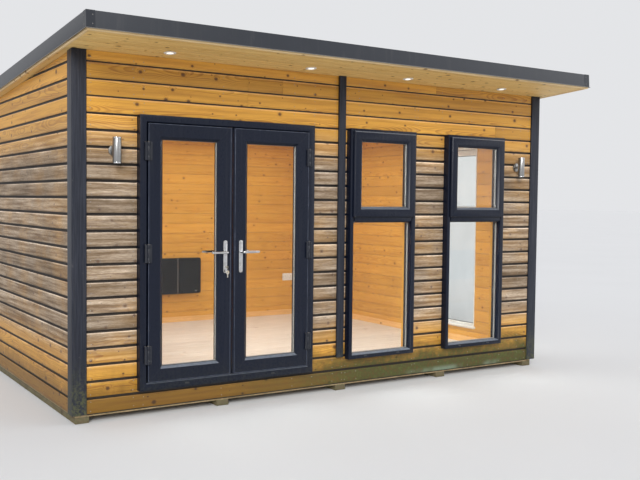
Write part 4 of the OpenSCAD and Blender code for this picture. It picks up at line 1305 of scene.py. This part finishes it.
# Each leaf: its side, the X of its hinge pins and of its lever, and the way from pins to lever
LEAVES = (("left", -1.654, -1.071, 1), ("right", -0.363, -0.946, -1))
HINGE_FRONT = -1.869
HINGE_Z = (0.434, 1.132, 1.830)
LEVER_Z = 1.130
LOCK_Z = 1.024

# Hinge screws, on the frame and on each leaf
on_frame = Pile()
for side, pin, _, way in LEAVES:
    pile = Pile()
    for z in HINGE_Z:
        for rise in (-0.045, -0.016, 0.016, 0.045):
            screw_head(pile, (pin + way * 0.017, HINGE_FRONT, z + rise), -Y, 0.0034)
        for rise in (-0.045, 0.045):
            screw_head(on_frame, (pin - way * 0.018, HINGE_FRONT, z + rise), -Y, 0.0034)
    pile.piece(side + "_hinge_screws", hinge_coat, "hinge_metal", side + "_door")
on_frame.piece("frame_hinge_screws", hinge_coat, "hinge_metal")

# Lock faces, plate screws and key slots
PLATE_FRONT, PLATE_BACK = -1.864, -1.788
for side, _, x, _ in LEAVES:
    pile, slots = Pile(), Pile()
    for face, out in ((PLATE_FRONT, -Y), (PLATE_BACK, Y)):
        for z in (LEVER_Z + 0.070, LEVER_Z - 0.136):
            screw_head(pile, (x, face, z), out, 0.0038)
        plug = [(0.0062, -0.0004), (0.0062, 0.0007), (0.0056, 0.0012), (0.0012, 0.0012)]
        pile.add(turned(plug, (x, face + 0.001 * out[1], LOCK_Z), out, 20))
        y = sorted((face + out[1] * 0.0018, face + out[1] * 0.0026))
        slots.add(block((x - 0.0008, y[0], LOCK_Z - 0.0035), (x + 0.0008, y[1], LOCK_Z + 0.0048), 0.0003, 1))
    pile.piece(side + "_lock_faces", polished, "polished_steel", side + "_door")
    slots.piece(side + "_key_slots", gasket_rubber, "hinge_metal", side + "_door")


def key_shape(pile, head, down, flat, face):
    """Key: a pierced round bow, and a notched blade that leaves it. Down is the blade's way,
    flat lies across the blade in its plane, and face is its normal."""
    turn = rays(flat, down, 28)
    section = [(-0.0075, -0.0011), (0.0030, -0.0011), (0.0035, -0.0006), (0.0035, 0.0006), (0.0030, 0.0011),
               (-0.0075, 0.0011)]
    if np.dot(np.cross(flat, down), face) > 0:
        section = section[::-1]
    pile.add(sweep(section, head + 0.010 * turn, turn, face, closed=True))
    edge = [0.0042, 0.0042, 0.0030, 0.0040, 0.0028, 0.0038, 0.0030, 0.0008]
    reach = [0.009, 0.018, 0.021, 0.024, 0.027, 0.030, 0.034, 0.038]
    rings = []
    for width, at in zip(edge, reach):
        corners = ((-0.0042, -0.001), (width, -0.001), (width, 0.001), (-0.0042, 0.001))
        rings.append([head + at * down + a * flat + b * face for a, b in corners])
    if np.dot(np.cross(flat, face), down) < 0:
        rings = [ring[::-1] for ring in rings]
    pile.add(loft(rings))


pile = Pile()
key_head = np.array([LEAVES[0][2], -1.8935, LOCK_Z])
key_shape(pile, key_head, Y, Z, X)
ring_middle = key_head + (0.0, -0.004, -0.0185)
ring_side = unit((0.25, 0.97, 0.0))
turn = rays(ring_side, Z, 40)
wire = circle(0.0009, 8)[::-1]
pile.add(sweep(wire, ring_middle + 0.0125 * turn, turn, np.cross(ring_side, Z), closed=True))
key_shape(pile, ring_middle + (0.003, 0.002, -0.0185), -Z, X, Y)
pile.piece("door_key", key_metal, "polished_steel", "left_door")

# Room: skirting, heater trims, socket details
SKIRT_SECTION = [(0.0, 0.0120), (0.0520, 0.0120), (0.0555, 0.0115), (0.058, 0.0085), (0.058, 0.0), (0.0, 0.0)]


def skirting(pile, wall, face, left, right, seed):
    """Board along the foot of a wall with a softened top edge, grain along its length."""
    along, up, out = wall
    path = np.linspace(left, right, 12)[:, None] * along + room_floor * up + face * out
    points, faces = bar(SKIRT_SECTION, path, up, out)
    plank = np.stack([points @ along + seed * 7.3, points[:, 2] - room_floor - 0.03,
                      points @ out - face - 0.03], -1)
    tone = np.full(len(points), seed % 3 / 2)
    pile.add((points, faces), plank=plank, shade=np.zeros(len(points)), tone=tone)


front_face, back_face = front_room[1][1], back_room[0][1]
left_face, right_face = left_room[1][0], right_room[0][0]
pile = Pile()
skirting(pile, BACK_ROOM, -back_face, left_face + 0.001, right_face - 0.001, 1)
skirting(pile, FRONT_ROOM, front_face, -right_face + 0.001, -door_hole[1] - 0.012, 2)
skirting(pile, FRONT_ROOM, front_face, -door_hole[0] + 0.012, -left_face - 0.001, 3)
skirting(pile, LEFT_ROOM, left_face, front_face + 0.0125, back_face - 0.0125, 4)
skirting(pile, RIGHT_ROOM, -right_face, -back_face + 0.0125, -front_face - 0.0125, 5)
pile.piece("skirting_boards", skirting_wood, "lining")

low, high = box_of("panel_heater")
groove = high[0] - 0.283
pile = Pile()
pile.add(block((groove - 0.0034, low[1] - 0.0012, low[2] + 0.001),
               (groove + 0.0034, low[1] + 0.0030, high[2] - 0.001), 0.0008, 2))
pile.add(block((high[0] - 0.075, low[1] - 0.0010, low[2] + 0.026),
               (high[0] - 0.048, low[1] + 0.0020, low[2] + 0.035), 0.0008, 1))
pile.piece("heater_trims", brushed, "brushed_lamp")

low, high = box_of("double_socket")
middle, face = (low + high) / 2, low[1]
whites, darks, heads = Pile(), Pile(), Pile()
for way in (-1, 1):
    x = middle[0] + way * 0.036
    cap(darks, BACK_ROOM, x, middle[2] + 0.008, -face, 0.0042, 0.0085, 0.0014, 0.0003)
    for pin in (-1, 1):
        cap(darks, BACK_ROOM, x + pin * 0.011, middle[2] - 0.0135, -face, 0.0068, 0.0042, 0.0014, 0.0003)
    whites.add(block((x + way * 0.016 - 0.006, face - 0.003, middle[2] + 0.014),
                     (x + way * 0.016 + 0.006, face + 0.002, middle[2] + 0.034), 0.0012, 1))
    screw_head(heads, (middle[0] + way * 0.0605, face, middle[2]), -Y, 0.0036)
whites.piece("socket_rockers", white_fitting, "socket_white")
darks.piece("socket_pin_holes", gasket_rubber, "heater_black")
heads.piece("socket_screws", zinc, "hinge_metal")

# Rings at the ends of the wall lamps, and the screws of their plates
HOOP = 0.029
HOOP_SECTION = np.array([(-0.0028, -0.0006), (0.0008, -0.0006), (0.0012, 0.0004), (0.0012, 0.0052),
                         (0.0008, 0.0062), (-0.0004, 0.0062)])
pile, heads = Pile(), Pile()
turn = rays(X, Y, 40)
for low, high in lamp_boxes:
    x, y, z = (low[0] + high[0]) / 2, low[1] + LAMP_AXIS, (low[2] + high[2]) / 2
    for end, way in ((low[2], 1), (high[2], -1)):
        section = (HOOP_SECTION * (1, way))[::-way]
        pile.add(sweep(section, (x, y, end) + HOOP * turn, turn, Z, closed=True))
    for way in (-1, 1):
        screw_head(heads, (x + way * 0.026, FACE_Y - 0.012, z), -Y, 0.0032)
pile.piece("lamp_rings", polished, "brushed_lamp")
heads.piece("lamp_plate_screws", zinc, "hinge_metal")


# Roof: lap seams of the covering, the trim's hem, corner plates and screws

ROOF = (X, -SLOPE_UP, np.cross(X, -SLOPE_UP))
# Thicknesses of the soffit, the deck and the cover, one over the other
roof_out = 0.012 + 0.095 + 0.004
trim_top = roof_out + 0.0052
cover_low, cover_high = box_of("roof_cover")
front_t, back_t = slope_at(cover_low[1]), slope_at(cover_high[1])


def on_roof(x, t, rise):
    """Point at a distance across, a distance up the slope and a height above the soffit's underside."""
    return ROOF_START + x * X + t * SLOPE_UP + rise * ROOF[2]


pile = Pile()
section = [(-0.03, -0.0006), (0.03, -0.0006), (0.03, 0.0004), (0.027, 0.0014), (-0.027, 0.0014),
           (-0.03, 0.0004)]
for x in (-1.10, 0.0, 1.10):
    ends = [on_roof(x, t, roof_out) for t in np.linspace(back_t + 0.062, front_t - 0.062, 14)]
    pile.add(bar(section, ends, X, ROOF[2]))
pile.piece("roof_lap_seams", roof_sheet_rubber, "roof_rubber")

TRIM_FOOT, TRIM_DRIP = 0.006, 0.008
trim_low, trim_high = box_of("roof_trim")
foot_shift = TRIM_FOOT * math.sin(ROOF_PITCH)
front_foot = slope_at(trim_low[1] - foot_shift)
back_foot = slope_at(trim_high[1] - foot_shift)

pile = Pile()
hem, faces = around(circle(0.0016, 8) + (0.0012, TRIM_FOOT + 0.0010), ROOF, -trim_high[0], trim_high[0],
                    -front_foot, -back_foot)
pile.add((hem + ROOF_START, faces))
pile.piece("trim_hem", zinc, "trim_metal")

plates, heads = Pile(), Pile()
LEG, OUT = 0.055, 0.0009
RIVETS = (0.035, 0.090)
ANGLE_PLAN = [(OUT, OUT), (-LEG, OUT), (-LEG, -0.0003), (-0.0003, -0.0003), (-0.0003, -LEG), (OUT, -LEG)]
TOP_PLAN = [(OUT, OUT), (-LEG, OUT), (-LEG, -LEG), (OUT, -LEG)]
for side in (-1, 1):
    for way, foot_t in ((1, front_foot), (-1, back_foot)):
        x, t = trim_high[0] - TRIM_DRIP, foot_t - way * TRIM_DRIP
        for plan, rises in ((ANGLE_PLAN, (TRIM_FOOT + TRIM_DRIP + 0.001, trim_top + OUT)),
                            (TOP_PLAN, (trim_top - 0.0003, trim_top + OUT))):
            rings = [[on_roof(side * (x + a), t + way * b, rise) for a, b in plan] for rise in rises]
            plates.add(loft([ring if side * way < 0 else ring[::-1] for ring in rings]))
        for rise in RIVETS:
            screw_head(heads, on_roof(side * (x - 0.040), t + way * OUT, rise), way * SLOPE_UP, 0.0032)
            screw_head(heads, on_roof(side * (x + OUT), t - way * 0.040, rise), side * X, 0.0032)
plates.piece("trim_corner_plates", trim_coating, "trim_metal")
heads.piece("corner_plate_rivets", zinc, "hinge_metal")

pile = Pile()
for s in np.arange(-2.1, 2.11, 0.3):
    for t in (front_t - 0.030, back_t + 0.030):
        screw_head(pile, on_roof(s, t, trim_top - 0.0002), ROOF[2], 0.0045)
for t in np.arange(back_t + 0.3, front_t - 0.2, 0.3):
    for x in (-2.19, 2.19):
        screw_head(pile, on_roof(x, t, trim_top - 0.0002), ROOF[2], 0.0045)
pile.piece("trim_screws", zinc, "hinge_metal")


# Stage

def write_stage(web, place):
    """Pale grey floor with a faint cloud in its tone."""
    soft = web.noise(place, 0.4, 2.0)
    return web.blend(soft, (0.74, 0.74, 0.74), (0.78, 0.78, 0.78)), 0.9, None


def stage_surface():
    """Level floor: a grid of squares that grow with the distance from the middle."""
    reach = np.array([-400.0, -60.0, -12.0, 0.0, 12.0, 60.0, 400.0])
    x, y = np.meshgrid(reach, reach, indexing="ij")
    points = np.stack([x, y, np.full(x.shape, -0.0005)], -1).reshape(-1, 3)
    count = len(reach)
    row, column = np.meshgrid(np.arange(count - 1), np.arange(count - 1), indexing="ij")
    here = (row * count + column).ravel()
    quads = np.stack([here, here + count, here + count + 1, here + 1], -1)
    mesh = bpy.data.meshes.new("studio_floor")
    mesh.from_pydata(points.tolist(), [], quads.tolist())
    mesh.materials.append(finish("studio_floor", write_stage))
    return placed("studio_floor", mesh)


stage_surface()

world = bpy.data.worlds.new("studio")
bpy.context.scene.world = world
world.use_nodes = True
world.node_tree.nodes.clear()
web = Web(world.node_tree)
path = web.node("LightPath", out=None).outputs
through = web.calc("MAXIMUM", path["Is Glossy Ray"], path["Is Transmission Ray"])
seen = web.calc("MAXIMUM", path["Is Camera Ray"], through)
sky = web.node("Background", {"Color": (0.93, 0.95, 1.0), "Strength": 0.62})
backdrop = web.node("Background", {"Color": (0.775, 0.784, 0.804), "Strength": 1.0})
web.node("OutputWorld", {"Surface": web.node("MixShader", {0: seen, 1: sky, 2: backdrop})}, None)


def light(name, kind, direction, place=(0, 0, 0), hidden=False, **settings):
    """Light that shines along a direction: the columns of its matrix are the side, the cross
    product, the back and the place. A hidden one lights the pod without a glint."""
    data = bpy.data.lights.new(name, kind)
    for key, value in settings.items():
        setattr(data, key, value)
    lamp = placed(name, data)
    back = -unit(direction)
    side = unit(np.cross(Y if abs(back[1]) < 0.9 else X, back))
    columns = np.column_stack([side, np.cross(back, side), back, place])
    lamp.matrix_world = Matrix(np.vstack([columns, [0, 0, 0, 1]]).tolist())
    if hidden:
        lamp.visible_camera = False
        lamp.visible_glossy = False


light("key", "SUN", (0.50, 0.80, -0.48), energy=2.3, angle=math.radians(28))
light("fill", "SUN", (-0.75, 0.35, -0.30), energy=0.55, angle=math.radians(60))
light("room", "AREA", (0, 0, -1), (0.0, 0.0, 2.2), True, shape="RECTANGLE", size=3.2, size_y=2.6,
      energy=60.0)

bpy.context.scene.view_settings.view_transform = "Standard"
